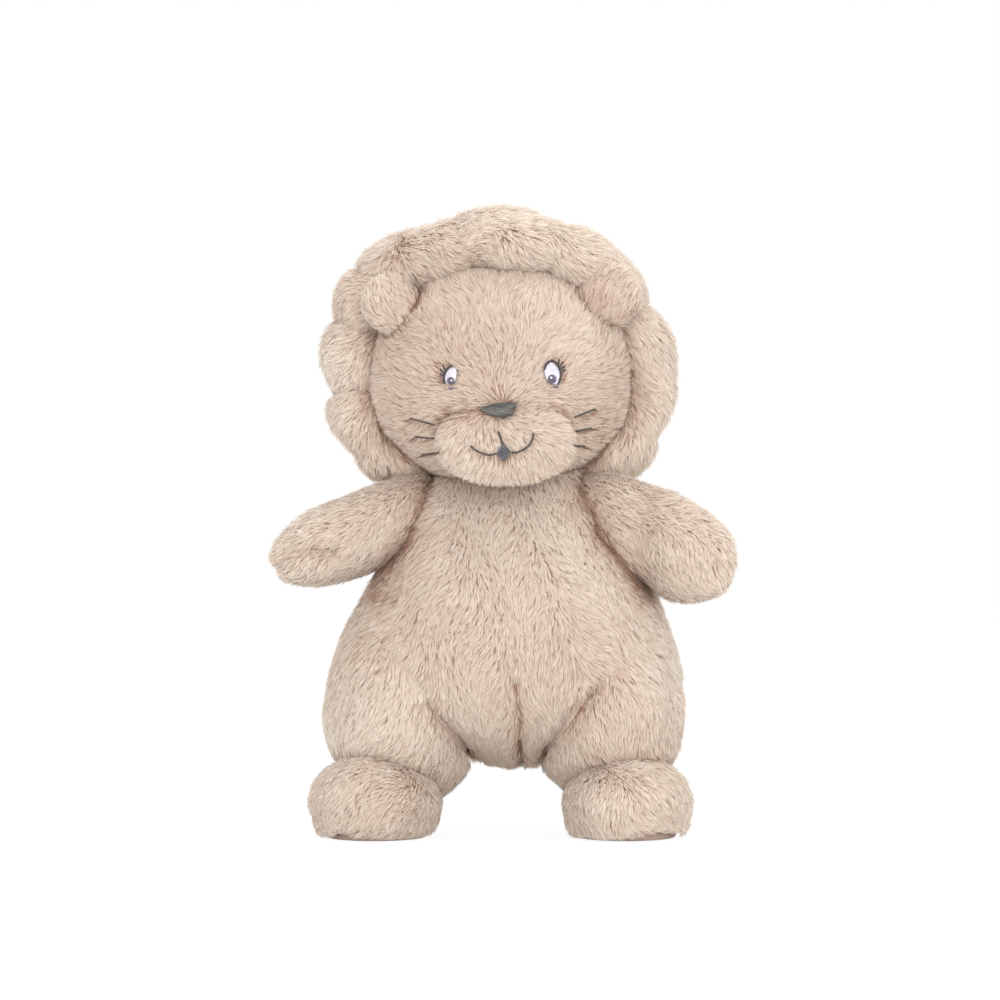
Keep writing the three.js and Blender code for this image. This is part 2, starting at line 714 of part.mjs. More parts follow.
const shaftY = greatBack + toothRise * 1.1 + pinionRadius;
const pinionRight = -(greatRadius - greatFace / 2) - running;
const pinionLeft = pinionRight - greatFace - running;
const bearingRight = -cupRadius - 2 * running;
const cylinderRight = pinionLeft - cylinderEndGap;
const cylinderLeft = cylinderRight - cylinderLength;
const gearRight = cylinderLeft - gearGap;
const gearLeft = gearRight - gearThick;
const wheelRight = gearLeft - gearGap;
const wheelLeft = wheelRight - gearThick;
const plateRight = wheelLeft - gearGap;
const plateLeft = plateRight - plateThick;
const pressed = shaftRadius + 0.05;

place('cylinder_shaft', rodX(shaftRadius, plateLeft, bearingRight, shaftY, 0, 12), steelLook, movement);
place('cylinder_pinion', spurSolid(pinionTeeth, driveModule, pinionLeft, pinionRight,
  shaftY, 0, pressed, 0.5), brassLook, movement);
place('cylinder_gear', spurSolid(cylinderGearTeeth, fineModule, gearLeft, gearRight,
  shaftY, 0, pressed, 0), nylonLook, movement);

// Each comb tooth has its own ring of pins, spread round the cylinder by even steps.
function cylinderSolid() {
  const drum = rodX(cylinderRadius, cylinderLeft, cylinderRight, shaftY, 0, 30);
  const bore = rodX(pressed, cylinderLeft - 1, cylinderRight + 1, shaftY, 0, 12);
  const roomLeft = rodX(cylinderRadius - cylinderWall, cylinderLeft - 1, cylinderLeft + 4, shaftY, 0, 16);
  const pins = [];
  for (let tooth = 0; tooth < combTeeth; tooth += 1) {
    for (let note = 0; note < pinsPerTooth; note += 1) {
      const pin = new THREE.BoxGeometry(pinWide, pinHigh + 1, pinWide);
      pin.translate(0, cylinderRadius + pinHigh / 2 - 0.5, 0);
      pin.rotateX(2 * Math.PI * (note / pinsPerTooth + ((tooth * 7) % combTeeth) / combTeeth / pinsPerTooth));
      const x = cylinderLeft + (cylinderLength * (tooth + 0.5)) / combTeeth;
      pins.push(solidOf(pin.translate(x, shaftY, 0)));
    }
  }
  return join(drum.subtract(roomLeft), ...pins).subtract(bore);
}
place('cylinder', cylinderSolid(), brassLook, movement);

// Comb: a steel plate with one tooth for each note, on a riser of the bedplate

function combShape() {
  const shape = new THREE.Shape();
  const top = -cylinderRadius - pinHigh - combTipGap;
  const pitch = cylinderLength / combTeeth;
  const base = top - combLength;
  shape.moveTo(cylinderLeft, base - combBase);
  shape.lineTo(cylinderRight, base - combBase);
  for (let i = combTeeth - 1; i >= 0; i -= 1) {
    const left = cylinderLeft + pitch * i + combSlot / 2;
    const right = cylinderLeft + pitch * (i + 1) - combSlot / 2;
    const foot = base + 4 * (i / combTeeth);
    shape.lineTo(right, foot);
    shape.lineTo(right, top);
    shape.lineTo(left, top);
    shape.lineTo(left, foot);
  }
  shape.closePath();
  return shape;
}
const combBack = shaftY + combThick / 2;
const combBaseMiddle = -cylinderRadius - pinHigh - combTipGap - combLength - combBase / 2;
const combScrewPlaces = [cylinderLeft + combScrewInset, cylinderRight - combScrewInset];
const combBores = combScrewPlaces.map((x) => rodY(combScrewRadius * 0.6 + running, combBack + 1, combBack - 3,
  x, combBaseMiddle, 10));
place('comb', carve(slabXZ(combShape(), combBack, combBack - combThick), ...combBores), steelLook, movement);

const riserShape = roundedRectangle(cylinderLeft, cylinderRight, combBaseMiddle - combBase / 2,
  combBaseMiddle + combBase / 2, 1);
const riserBores = combScrewPlaces.map((x) => rodY(combScrewRadius * 0.6 + running, plateFront, combBack - 3,
  x, combBaseMiddle, 10));
place('comb_riser', carve(slabXZ(riserShape, plateFront - seam, combBack + seam, 3), ...riserBores),
  castLook, movement);

combScrewPlaces.forEach((x, i) => {
  const headBack = combBack - combThick - seam;
  const screw = join(rodY(combScrewRadius, headBack, headBack - screwHead, x, combBaseMiddle, 12),
    rodY(combScrewRadius * 0.6, headBack - screwHead / 2, plateFront - 1, x, combBaseMiddle, 10));
  const slot = new THREE.BoxGeometry(2 * combScrewRadius + 1, 1, 0.6);
  slot.translate(x, headBack - screwHead, combBaseMiddle);
  place(`comb_screw_${i + 1}`, carve(screw, solidOf(slot)), steelLook, movement);
});

// Governor: a train from the cylinder to a worm with an air brake

const cylinderGearRadius = (cylinderGearTeeth * fineModule) / 2;
const governorPinionRadius = (governorPinionTeeth * fineModule) / 2;
const wormWheelRadius = (wormWheelTeeth * fineModule) / 2;
const governorUp = cylinderGearRadius + governorPinionRadius;
const wormUp = governorUp + wormWheelRadius + wormRadius;
const wormX = (wheelLeft + wheelRight) / 2;
const bracketRight = gearRight + 1.4 + running;

place('governor_shaft', rodX(shaftRadius * 0.8, plateLeft, bracketRight, shaftY, governorUp, 10),
  steelLook, movement);
place('governor_pinion', spurSolid(governorPinionTeeth, fineModule, gearLeft, gearRight, shaftY, governorUp,
  shaftRadius * 0.8 + 0.05, 0.5), brassLook, movement);
place('governor_wheel', spurSolid(wormWheelTeeth, fineModule, wheelLeft, wheelRight, shaftY, governorUp,
  shaftRadius * 0.8 + 0.05, 0), nylonLook, movement);

// A worm: a straight-sided ridge climbs round the core by one tooth pitch in each turn.
function wormSolid() {
  const lead = Math.PI * fineModule;
  const half = (wormTurns * lead) / 2;
  const stepsPerTurn = 10;
  const steps = wormTurns * stepsPerTurn;
  const rise = 0.75 * fineModule;
  const positions = [];
  const faces = [];
  const corners = [[-0.3, -rise * 1.5], [-0.11, rise], [0.11, rise], [0.3, -rise * 1.5]];
  for (let i = 0; i <= steps; i += 1) {
    const angle = (2 * Math.PI * i) / stepsPerTurn;
    for (const [along, out] of corners) {
      const radius = wormRadius + out;
      positions.push(radius * Math.sin(angle), -half + (lead * i) / stepsPerTurn + along * lead,
        radius * Math.cos(angle));
    }
  }
  for (let i = 0; i < steps; i += 1) {
    for (let k = 0; k < 4; k += 1) {
      const [a, b] = [4 * i + k, 4 * i + ((k + 1) % 4)];
      faces.push(a, b + 4, b, a, a + 4, b + 4);
    }
  }
  const last = 4 * steps;
  faces.push(0, 1, 2, 0, 2, 3, last, last + 2, last + 1, last, last + 3, last + 2);
  const geometry = new THREE.BufferGeometry();
  geometry.setAttribute('position', new THREE.Float32BufferAttribute(positions, 3));
  geometry.setIndex(faces);
  const core = rodY(wormRadius - rise * 1.2, -half - 1, half + 1, 0, 0, stepsPerTurn);
  return join(core, solidOf(geometry));
}
const wormBack = plateFront - 1;
const wormFront = -caseDepth + caseWall + 0.8;
const wormArbor = rodY(0.6, wormBack, wormFront, 0, 0, 8);
const blade = solidOf(new THREE.BoxGeometry(2 * brakeReach, brakeHigh, 0.5)
  .translate(0, wormFront + 1.2 + brakeHigh / 2, 0));
const hub = rodY(1.2, wormFront + 0.6, wormFront + brakeHigh + 1.8, 0, 0, 8);
place('governor_worm', join(wormSolid().translate(0, shaftY, 0), wormArbor, blade, hub)
  .translate(wormX, 0, wormUp), nylonLook, movement);

// Bearing plates stand on the bedplate: one by the great wheel, one past the governor's wheel

function bearingPlate(right, left, low, high, bores) {
  const shape = new THREE.Shape([
    new THREE.Vector2(plateFront - seam, low),
    new THREE.Vector2(plateFront - seam, high),
    new THREE.Vector2(shaftY - plateMargin, high),
    new THREE.Vector2(shaftY - plateMargin, low),
  ]);
  const drills = bores.map(([radius, z]) => rodX(radius + running, left - 1, right + 1, shaftY, z, 12));
  return carve(slabYZ(shape, left, right), ...drills);
}
place('bearing_right', bearingPlate(bearingRight, pinionRight + 2 * running, -plateMargin, plateMargin,
  [[shaftRadius, 0]]), castLook, movement);
place('bearing_left', bearingPlate(plateRight, plateLeft, -plateMargin, governorUp + plateMargin,
  [[shaftRadius, 0], [shaftRadius * 0.8, governorUp]]), castLook, movement);

// Winding key: two pierced wings on a hub, screwed on the arbor's end

function keySolid() {
  const half = keySpan / 2;
  const wings = new THREE.Shape();
  const low = keyHubStart + 1.5;
  const high = low + keyHigh;
  wings.moveTo(-half, low + keyHigh * 0.55);
  wings.bezierCurveTo(-half, low + keyHigh * 0.15, -half * 0.55, low, -keyHubRadius * 0.8, low + 1);
  wings.lineTo(keyHubRadius * 0.8, low + 1);
  wings.bezierCurveTo(half * 0.55, low, half, low + keyHigh * 0.15, half, low + keyHigh * 0.55);
  wings.bezierCurveTo(half, high + 1, half * 0.3, high + 1, 0, high - keyHigh * 0.3);
  wings.bezierCurveTo(-half * 0.3, high + 1, -half, high + 1, -half, low + keyHigh * 0.55);
  const plate = new THREE.ExtrudeGeometry(wings, {
    depth: keyThick - 0.8, bevelEnabled: true, bevelThickness: 0.4, bevelSize: 0.4, bevelOffset: -0.4,
    bevelSegments: 1, curveSegments: 8,
  });
  const flat = solidOf(plate.translate(0, 0, -(keyThick - 0.8) / 2));
  const holes = [-1, 1].map((sign) => {
    const drill = new THREE.CylinderGeometry(keyHole, keyHole, 2 * keyThick, 14);
    return solidOf(drill.rotateX(Math.PI / 2).translate(sign * half * 0.56, low + keyHigh * 0.52, 0));
  });
  const hubBar = rodY(keyHubRadius, keyHubStart, keyHubStart + keyHubLength, 0, 0, 16);
  const socket = rodY(arborRadius + 0.05, keyHubStart - 1, arborEnd + seam, 0, 0, 12);
  return carve(join(flat, hubBar), ...holes, socket);
}
place('winding_key', keySolid(), steelLook, movement);

export default toy;
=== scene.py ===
"""Plush lion with a wind-up musical movement: pile cloth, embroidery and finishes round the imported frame.

The shapes are worked out in millimetres, +Z up, the face along -Y, and put into meshes in metres.
Left and right are as seen from the front, so left is -X.
"""

import math

import bpy
import numpy as np
from bpy.props import FloatProperty, FloatVectorProperty, PointerProperty
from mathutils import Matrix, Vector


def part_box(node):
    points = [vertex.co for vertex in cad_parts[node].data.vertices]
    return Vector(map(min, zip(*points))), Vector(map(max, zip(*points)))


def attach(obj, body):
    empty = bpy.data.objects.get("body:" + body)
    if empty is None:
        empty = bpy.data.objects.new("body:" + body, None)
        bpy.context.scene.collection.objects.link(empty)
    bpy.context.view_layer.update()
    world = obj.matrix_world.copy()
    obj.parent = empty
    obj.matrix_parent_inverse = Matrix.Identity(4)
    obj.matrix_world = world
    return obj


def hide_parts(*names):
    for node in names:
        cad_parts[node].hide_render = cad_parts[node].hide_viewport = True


bl_info = {
    "name": "Plush lion music box",
    "version": (1, 0, 0),
    "blender": (4, 5, 0),
    "location": "3D View > Sidebar > Plush lion",
    "description": "Makes the pile cloth, embroidery and finishes of a plush lion with a wind-up movement",
    "category": "Object",
}

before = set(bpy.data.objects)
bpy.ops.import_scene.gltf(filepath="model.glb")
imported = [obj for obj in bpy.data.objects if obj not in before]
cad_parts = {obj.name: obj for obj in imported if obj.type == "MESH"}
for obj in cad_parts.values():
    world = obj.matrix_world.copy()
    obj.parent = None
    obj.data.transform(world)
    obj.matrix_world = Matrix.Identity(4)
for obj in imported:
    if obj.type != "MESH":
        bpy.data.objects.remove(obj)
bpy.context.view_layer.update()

MM = 0.001
BODY = "plush"
SIDES = (("left", -1), ("right", 1))


# Settings

def linear(code):
    """An sRGB hex colour as linear red, green and blue."""
    channels = [int(code[i:i + 2], 16) / 255 for i in (1, 3, 5)]
    return [c / 12.92 if c <= 0.04045 else ((c + 0.055) / 1.055) ** 2.4 for c in channels]


def length(name, description, default):
    return FloatProperty(name=name, description=description, default=default, unit="LENGTH", precision=5)


def colour(name, description, code):
    return FloatVectorProperty(name=name, description=description, default=linear(code), size=3,
                               subtype="COLOR", min=0, max=1)


class PileSettings(bpy.types.PropertyGroup):
    """Sizes and colours of the pile cloth."""
    depth: length("Cloth depth", "Backing cloth inside the pile's outer face", 0.0033)
    face_depth: length("Face cloth depth", "Backing cloth inside the pile's outer face on the face", 0.0032)
    body_pile: length("Body pile", "Length of a strand on the body and limbs", 0.0062)
    face_pile: length("Face pile", "Length of a strand on the face", 0.0055)
    mane_pile: length("Mane pile", "Length of a strand on the mane", 0.0068)
    strand: length("Strand width", "Width of a strand at its widest", 0.00045)
    tuft: length("Tuft width", "Distance from tuft to tuft", 0.002)
    density: FloatProperty(name="Density", description="Strands on a square millimetre",
                           default=4.8, min=0.1)
    # Each root is darker than its tip: painted shade where the pile closes over it
    root_shade: colour("Shaded root", "Root of the darkest strands", "#d2ac93")
    tip_shade: colour("Shaded tip", "Tip of the darkest strands", "#e9d3c1")
    root_light: colour("Light root", "Root of the lightest strands", "#f4dccb")
    tip_light: colour("Light tip", "Tip of the lightest strands", "#fffaf1")
    # Painted crease shade: the warm brown that the strands in a crease turn to
    root_crease_shade: colour("Pressed root", "Root of the strands pressed into a fold", "#94705a")
    tip_crease_shade: colour("Pressed tip", "Tip of the strands pressed into a fold", "#c39a82")
    backing: colour("Backing", "Knitted cloth under the pile", "#f0d8c7")
    sole: colour("Sole", "Short-nap cloth under the feet", "#d2b7a6")


class ThreadSettings(bpy.types.PropertyGroup):
    """Sizes and colours of the embroidery."""
    ridge: length("Thread", "Distance from thread to thread in a filled shape", 0.0004)
    stitch: length("Stitch", "Length of one stitch in a line", 0.0023)
    dark: colour("Dark thread", "Outlines, lashes, mouth and whiskers", "#403a37")
    grey: colour("Grey thread", "Nose", "#5a5957")
    slate: colour("Slate thread", "Diamond under the nose", "#55545a")
    white: colour("White thread", "Whites of the eyes", "#d0cdda")
    iris: colour("Iris thread", "Irises", "#635c6c")
    eyelet: colour("Eyelet thread", "Whipped eyelet at the back", "#c9ab95")


class StageSettings(bpy.types.PropertyGroup):
    """Camera, light and floor."""
    distance: length("Camera distance", "From the camera to the toy's middle", 2.4)
    width: length("Frame width", "Width that the picture takes in at the toy's middle", 0.4153)
    middle_x: length("Frame middle", "Picture's middle to the right of the toy's middle", -0.0021)
    middle_z: length("Frame height", "Picture's middle over the floor", 0.1383)
    floor: colour("Floor", "Paper floor", "#f4f3f1")


# Numbers and curves

def unit(vectors):
    return vectors / np.maximum(np.linalg.norm(vectors, axis=-1, keepdims=True), 1e-9)


def dot(a, b):
    return (a * b).sum(-1, keepdims=True)


def smooth(low, high, value):
    """0 below low, 1 above high, and a smooth step between them."""
    t = np.clip((value - low) / (high - low), 0, 1)
    return t * t * (3 - 2 * t)


def curve(points, way):
    """Points on a centripetal Catmull-Rom curve through the given ones, for way from 0 to 1."""
    points = np.asarray(points, float)
    last = len(points) - 1
    place = np.clip(way, 0, 1) * last
    first = np.minimum(place.astype(int), last - 1)
    t = (place - first)[..., None]
    ends = np.vstack([2 * points[0] - points[1], points, 2 * points[-1] - points[-2]])
    p0, p1, p2, p3 = (ends[first + k] for k in range(4))
    pairs = ((p0, p1), (p1, p2), (p2, p3))
    d0, d1, d2 = (np.sqrt(np.linalg.norm(b - a, axis=-1, keepdims=True)) for a, b in pairs)
    m1 = ((p1 - p0) / d0 - (p2 - p0) / (d0 + d1) + (p2 - p1) / d1) * d1
    m2 = ((p2 - p1) / d1 - (p3 - p1) / (d1 + d2) + (p3 - p2) / d2) * d1
    return p1 + m1 * t + (3 * p2 - 3 * p1 - 2 * m1 - m2) * t ** 2 + (2 * p1 - 2 * p2 + m1 + m2) * t ** 3


def spread(values, way):
    """A smooth value between equally spaced ones."""
    return curve(np.column_stack([np.arange(len(values)), values]), way)[..., 1]


WAVES = 5
WAVES_HEIGHT = 2.2  # what the added waves are divided by to come to about 1


def waves(points, size, seed):
    """A wandering value of about -1 to 1: sine waves of random ways, each about size long, added."""
    rng = np.random.default_rng(seed)
    ways = unit(rng.normal(size=(WAVES, 3)))
    ways = ways / (size * (0.7 + 0.8 * rng.random((WAVES, 1))))
    return np.sin(2 * np.pi * (points @ ways.T + rng.random(WAVES))).sum(-1) / WAVES_HEIGHT


def off_chain(spots, path):
    """How far each spot is from a chain of points, the least over its links."""
    path = np.asarray(path, float)
    far = np.full(len(spots), np.inf)
    for a, b in zip(path[:-1], path[1:]):
        t = np.clip((spots - a) @ (b - a) / ((b - a) @ (b - a)), 0, 1)
        far = np.minimum(far, np.linalg.norm(spots - a - t[:, None] * (b - a), axis=1))
    return far


# Stuffed forms, with the sizes of the solids in the frame

NUDGE = 1e-4  # step to either side of a place on a line, for its tangent
LEAST = 1e-3  # half width that keeps a division sound at a form's ends


class Form:
    """A stuffed form: oval sections carried along a line, with round ends."""

    def __init__(self, line, wide, deep, blunt=2.4, side=(1, 0, 0)):
        self.line = np.array(line, float)
        self.wide, self.deep, self.blunt = wide, deep, blunt
        self.side = np.array(side, float)

    def section(self, step):
        """Middle, tangent, wide way, deep way, place from -1 to 1 and roundness of a step's section."""
        tangent = unit(curve(self.line, step + NUDGE) - curve(self.line, step - NUDGE))
        deep_way = unit(np.cross(tangent, self.side))
        end = 2 * step - 1
        roundness = np.sqrt(np.maximum(0, 1 - np.abs(end) ** self.blunt))
        return curve(self.line, step), tangent, np.cross(deep_way, tangent), deep_way, end, roundness

    def surface(self, turn, way, grow):
        """Line's point plus the oval: wide times cosine of the turn and deep times its sine, both times
        the roundness, which falls to nothing at the two ends. Steps crowd towards the ends as a cosine."""
        step = (1 - np.cos(np.pi * way)) / 2
        middle, tangent, wide_way, deep_way, end, roundness = self.section(step)
        wide = (spread(self.wide, step) + grow) * roundness * np.cos(2 * np.pi * turn)
        deep = (spread(self.deep, step) + grow) * roundness * np.sin(2 * np.pi * turn)
        return (middle + tangent * (grow * end)[..., None]
                + wide_way * wide[..., None] + deep_way * deep[..., None])

    def holds(self, points, grow):
        """True where a point lies inside the form grown by so much."""
        chord = self.line[-1] - self.line[0]
        step = (points - self.line[0]) @ chord / (chord @ chord)
        middle, _, wide_way, deep_way, _, roundness = self.section(np.clip(step, LEAST, 1 - LEAST))
        off = points - middle
        wide = np.maximum((spread(self.wide, step) + grow) * roundness, LEAST)
        deep = np.maximum((spread(self.deep, step) + grow) * roundness, LEAST)
        inside = (dot(off, wide_way)[..., 0] / wide) ** 2 + (dot(off, deep_way)[..., 0] / deep) ** 2 < 1
        return inside & (step > 0) & (step < 1)


TORSO = Form([[0, -4, 28], [2, -4, 92.5], [0, -4, 157]], [52, 75, 76.5, 72, 65, 58, 53, 53, 50],
             [40, 54, 57, 56, 53, 49, 43, 38, 34], 3)
HEAD = Form([[-2, -8, 143], [-2, -8, 193], [-2, -8, 243]], [53, 56, 55, 51, 44], [44, 48, 48.5, 46, 40], 2.6)
MUZZLE = Form([[-29, -47.5, 162.5], [29, -47.5, 162.5]], [18.5, 18.5], [12, 12], 2.3, (0, 0, 1))
LEG_OUT = (("left", -46, -41, -36), ("right", 48, 41, 35.5))  # from the lower end up
LEGS = {side: Form([[low, -15, 9], [middle, -12, 53.5], [high, -3, 98]], [25, 31, 33, 31, 24],
                   [28, 36, 41, 40, 28], 2.8) for side, low, middle, high in LEG_OUT}
FEET = {side: Form([[x, 20, 15], [x, -24, 15], [x, -68, 15]], [24.5, 27.5, 26.5], [19, 21, 20.5], 2.6)
        for side, x in (("left", -53), ("right", 49.5))}
ARMS = {
    "left": Form([[-16, -4, 139], [-56.65, -10.4, 125], [-97.3, -20, 111]], [18.5, 19.5, 18.3, 16.3, 13.5],
                 [16, 17.5, 17.5, 17, 15], 4, (0, 0, 1)),
    "right": Form([[16, -4, 139], [54.5, -16.8, 125.5], [93, -36, 107]], [18.5, 19.5, 21, 21, 18.5],
                  [16, 17.5, 17.5, 17, 15], 4, (0, 0, 1)),
}
EAR_LEAN = 0.75  # radians off upright
EAR_HALF = {"long": 14.5, "wide": 13, "thick": 7}
EAR_Y = -29.5


def ear_form(sign, x, z):
    lean = np.array([sign * math.sin(EAR_LEAN), 0, math.cos(EAR_LEAN)]) * EAR_HALF["long"]
    middle = np.array([x, EAR_Y, z])
    thick, wide = [EAR_HALF["thick"]] * 2, [EAR_HALF["wide"]] * 2
    return Form([middle - lean, middle + lean], thick, wide, 2.4, (0, 1, 0))


EARS = {"left": ear_form(-1, -45.5, 218), "right": ear_form(1, 42.5, 221.5)}
TAIL = Form([[12, 38, 54], [27, 55, 46], [41, 56, 29]], [5, 5], [5, 5], 6, (0, 0, 1))
TUFT = Form([[40, 56, 33.2], [46, 55, 5.2]], [8, 10, 7], [8, 10, 7])
HEAD_MIDDLE = HEAD.line[1]
KEY_UP = 76  # winding arbor over the floor
SOLE_TOP = 3.3
SEAM = 0.3  # room between two sewn pieces


class Mane:
    """A folded and gathered strip: an open ring of lobes round the face, its crown rolled forward."""
    seams = [-56, -22, 26, 66, 108, 144, 162, 187, 209, 236]
    reach = [-7, 0.5, -3, -4.5, -5.5, 2.5, 0.5, -1, -2.5, -9]
    radius, thick, deep, rise, fringe = 58, 16, 17, 5, 28
    middle = np.array([-2, 0, 191])

    def roll(self, way):
        """Angle of the roll's middle, radius, half thickness, half depth, forward shift and roundness."""
        place = np.clip(way, 0, 1) * (len(self.seams) - 1)
        angle = np.radians(np.interp(place, np.arange(len(self.seams)), self.seams))
        roundness = np.sqrt(np.maximum(0, 1 - np.abs(2 * way - 1) ** 6))
        crown = np.maximum(0, np.sin(angle)) ** 2
        lobe = np.abs(np.sin(np.pi * place)) ** 0.7 - 0.6
        thick = self.thick + self.rise * lobe * (1 - 0.5 * crown) - 2 * crown
        deep = self.deep + self.rise * lobe * (1 - 0.5 * crown) + self.fringe * 0.3 * crown
        radius = self.radius + spread(self.reach, way)
        return angle, radius, thick, deep, -self.fringe * 0.6 * crown, roundness

    def surface(self, turn, way, grow):
        """Ring's point at the angle, plus thickness times cosine of the turn outwards and depth times its
        sine backwards. Both swell and shrink with each lobe and fall to nothing at the ring's two ends."""
        angle, radius, thick, deep, shift, roundness = self.roll(way)
        out = radius + (thick + grow) * roundness * np.cos(2 * np.pi * turn)
        back = shift + (deep + grow) * roundness * np.sin(2 * np.pi * turn)
        return self.middle + np.stack([out * np.cos(angle), back, out * np.sin(angle)], -1)

    def holds(self, points, grow):
        """True where a point lies inside the roll grown by so much."""
        off = points - self.middle
        degrees = (np.degrees(np.arctan2(off[:, 2], off[:, 0])) + 90) % 360 - 90
        way = np.interp(degrees, self.seams, np.linspace(0, 1, len(self.seams)))
        _, radius, thick, deep, shift, roundness = self.roll(way)
        flat = (np.hypot(off[:, 0], off[:, 2]) - radius) / np.maximum((thick + grow) * roundness, LEAST)
        back = (off[:, 1] - shift) / np.maximum((deep + grow) * roundness, LEAST)
        return (flat ** 2 + back ** 2 < 1) & (way > 0) & (way < 1)


MANE = Mane()


# Meshes

def grid_normals(points):
    """Outward normals of a closed grid of rings: the cross product of its two directions, turned away
    from each ring's middle. The first and last rings, which close to a point, take their neighbours'."""
    across = np.roll(points, -1, 1) - np.roll(points, 1, 1)
    normals = unit(np.cross(across, np.gradient(points, axis=0)))
    if dot(normals, points - points.mean(1, keepdims=True)).sum() < 0:
        normals = -normals
    normals[0], normals[-1] = unit(normals[1].mean(0)), unit(normals[-2].mean(0))
    return normals


def cloth_grid(surface, grow, around, along, shift=None):
    """Rings of points from pole to pole on a form, moved along their normals by shift, and new normals."""
    turn, way = np.meshgrid(np.arange(around) / around, np.arange(along + 1) / along)
    points = surface(turn, way, grow)
    if shift is not None:
        points = points + grid_normals(points) * shift(points.reshape(-1, 3)).reshape(along + 1, around, 1)
    return points, grid_normals(points)


def closed_mesh(name, rings, low=None, high=None):
    """A closed mesh: quads between neighbouring rings, and a fan at each end to a point, which is the
    ring's middle where none is given."""
    low = rings[0].mean(0) if low is None else low
    high = rings[-1].mean(0) if high is None else high
    rows, around = rings.shape[:2]
    points = np.concatenate([rings.reshape(-1, 3), [low, high]])
    k = np.arange(around)
    after = (k + 1) % around
    row = np.arange(rows - 1)[:, None] * around
    quads = np.stack([row + k, row + after, row + after + around, row + k + around], -1).reshape(-1, 4)
    last = (rows - 1) * around
    fans = np.concatenate([np.stack([np.full(around, rows * around), after, k], -1),
                           np.stack([np.full(around, rows * around + 1), last + k, last + after], -1)])
    sides = np.concatenate([quads[:, [0, 1, 2]], quads[:, [0, 2, 3]], fans])
    a, b, c = (points[sides[:, i]] - points.mean(0) for i in range(3))
    if (np.cross(a, b) * c).sum() < 0:
        quads, fans = quads[:, ::-1], fans[:, ::-1]
    mesh = bpy.data.meshes.new(name)
    mesh.from_pydata(points * MM, [], quads.tolist() + fans.tolist())
    mesh.polygons.foreach_set("use_smooth", np.ones(len(mesh.polygons), bool))
    return mesh


def add_piece(name, mesh, finish, replaced=()):
    """Links a mesh as a piece that rides on the stuffed body."""
    made = bpy.data.objects.new(name, mesh)
    bpy.context.scene.collection.objects.link(made)
    mesh.materials.append(finish)
    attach(made, BODY)
    if replaced:
        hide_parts(*replaced)
    return made


def cloth_piece(node_name, grid):
    """The backing cloth of one stuffed node, drawn tight over its filling."""
    name, rings = f"{node_name}_cloth", grid[0]
    mesh = closed_mesh(name, rings[1:-1], rings[0].mean(0), rings[-1].mean(0))
    made = add_piece(name, mesh, backing_cloth(), [node_name])


def stuffed(node_name, form, depth, cells, shift=None):
    """Makes the backing cloth of a node at a depth inside its form, and returns the cloth's grid."""
    grid = cloth_grid(form.surface, -depth, *cells, shift)
    cloth_piece(node_name, grid)
    return grid


# Pile

def scatter(points, normals, per_square, rng):
    """Random places on a closed grid: a cell by its share of the area, then a place within the cell."""
    p, n = (np.concatenate([g, g[:, :1]], 1) for g in (points, normals))
    low = np.linalg.norm(np.cross(p[:-1, 1:] - p[:-1, :-1], p[1:, :-1] - p[:-1, :-1]), axis=-1)
    high = np.linalg.norm(np.cross(p[1:, :-1] - p[1:, 1:], p[:-1, 1:] - p[1:, 1:]), axis=-1)
    area = ((low + high) / 2).ravel()
    cell = np.sort(rng.choice(area.size, int(area.sum() * per_square), p=area / area.sum()))
    row, column = np.divmod(cell, p.shape[1] - 1)
    u, v = rng.random((2, len(cell), 1))

    def between(g):
        return ((g[row, column] * (1 - u) + g[row, column + 1] * u) * (1 - v)
                + (g[row + 1, column] * (1 - u) + g[row + 1, column + 1] * u) * v)
    return between(p), unit(between(n))


# Large odd numbers that scatter a cell's three counts and its value number over all bits
CELL_FACTORS = (73856093, 19349663, 83492791)
VALUE_FACTOR = 0x9E3779B97F4A7C15
MIXING = ((30, 0xBF58476D1CE4E5B9), (27, 0x94D049BB133111EB))


def chance(cell, value):
    """A number from 0 to 1 for each lattice cell, always the same for the same cell and value number:
    the counts' products are mixed by shifts and products, and the highest 53 bits are kept."""
    x, y, z = (cell[:, k] * CELL_FACTORS[k] for k in range(3))
    key = (x ^ y ^ z).astype(np.uint64)
    key += np.uint64((value + 1) * VALUE_FACTOR % 2 ** 64)
    for shift, factor in MIXING:
        key = (key ^ (key >> np.uint64(shift))) * np.uint64(factor)
    return ((key ^ (key >> np.uint64(31))) >> np.uint64(11)).astype(float) / 2 ** 53


def tufts(points, size):
    """The nearest middle of a jittered lattice of tufts, and four numbers that a tuft's strands share."""
    home = np.floor(points / size).astype(np.int64)
    best = np.full(len(points), np.inf)
    middle, own = np.zeros_like(points), np.zeros_like(home)
    for step in np.ndindex(3, 3, 3):
        cell = home + np.array(step) - 1
        spot = (cell + np.stack([chance(cell, k) for k in range(3)], -1)) * size
        far = ((points - spot) ** 2).sum(-1)
        near = far < best
        best[near], middle[near], own[near] = far[near], spot[near], cell[near]
    return middle, [chance(own, k) for k in range(3, 7)]


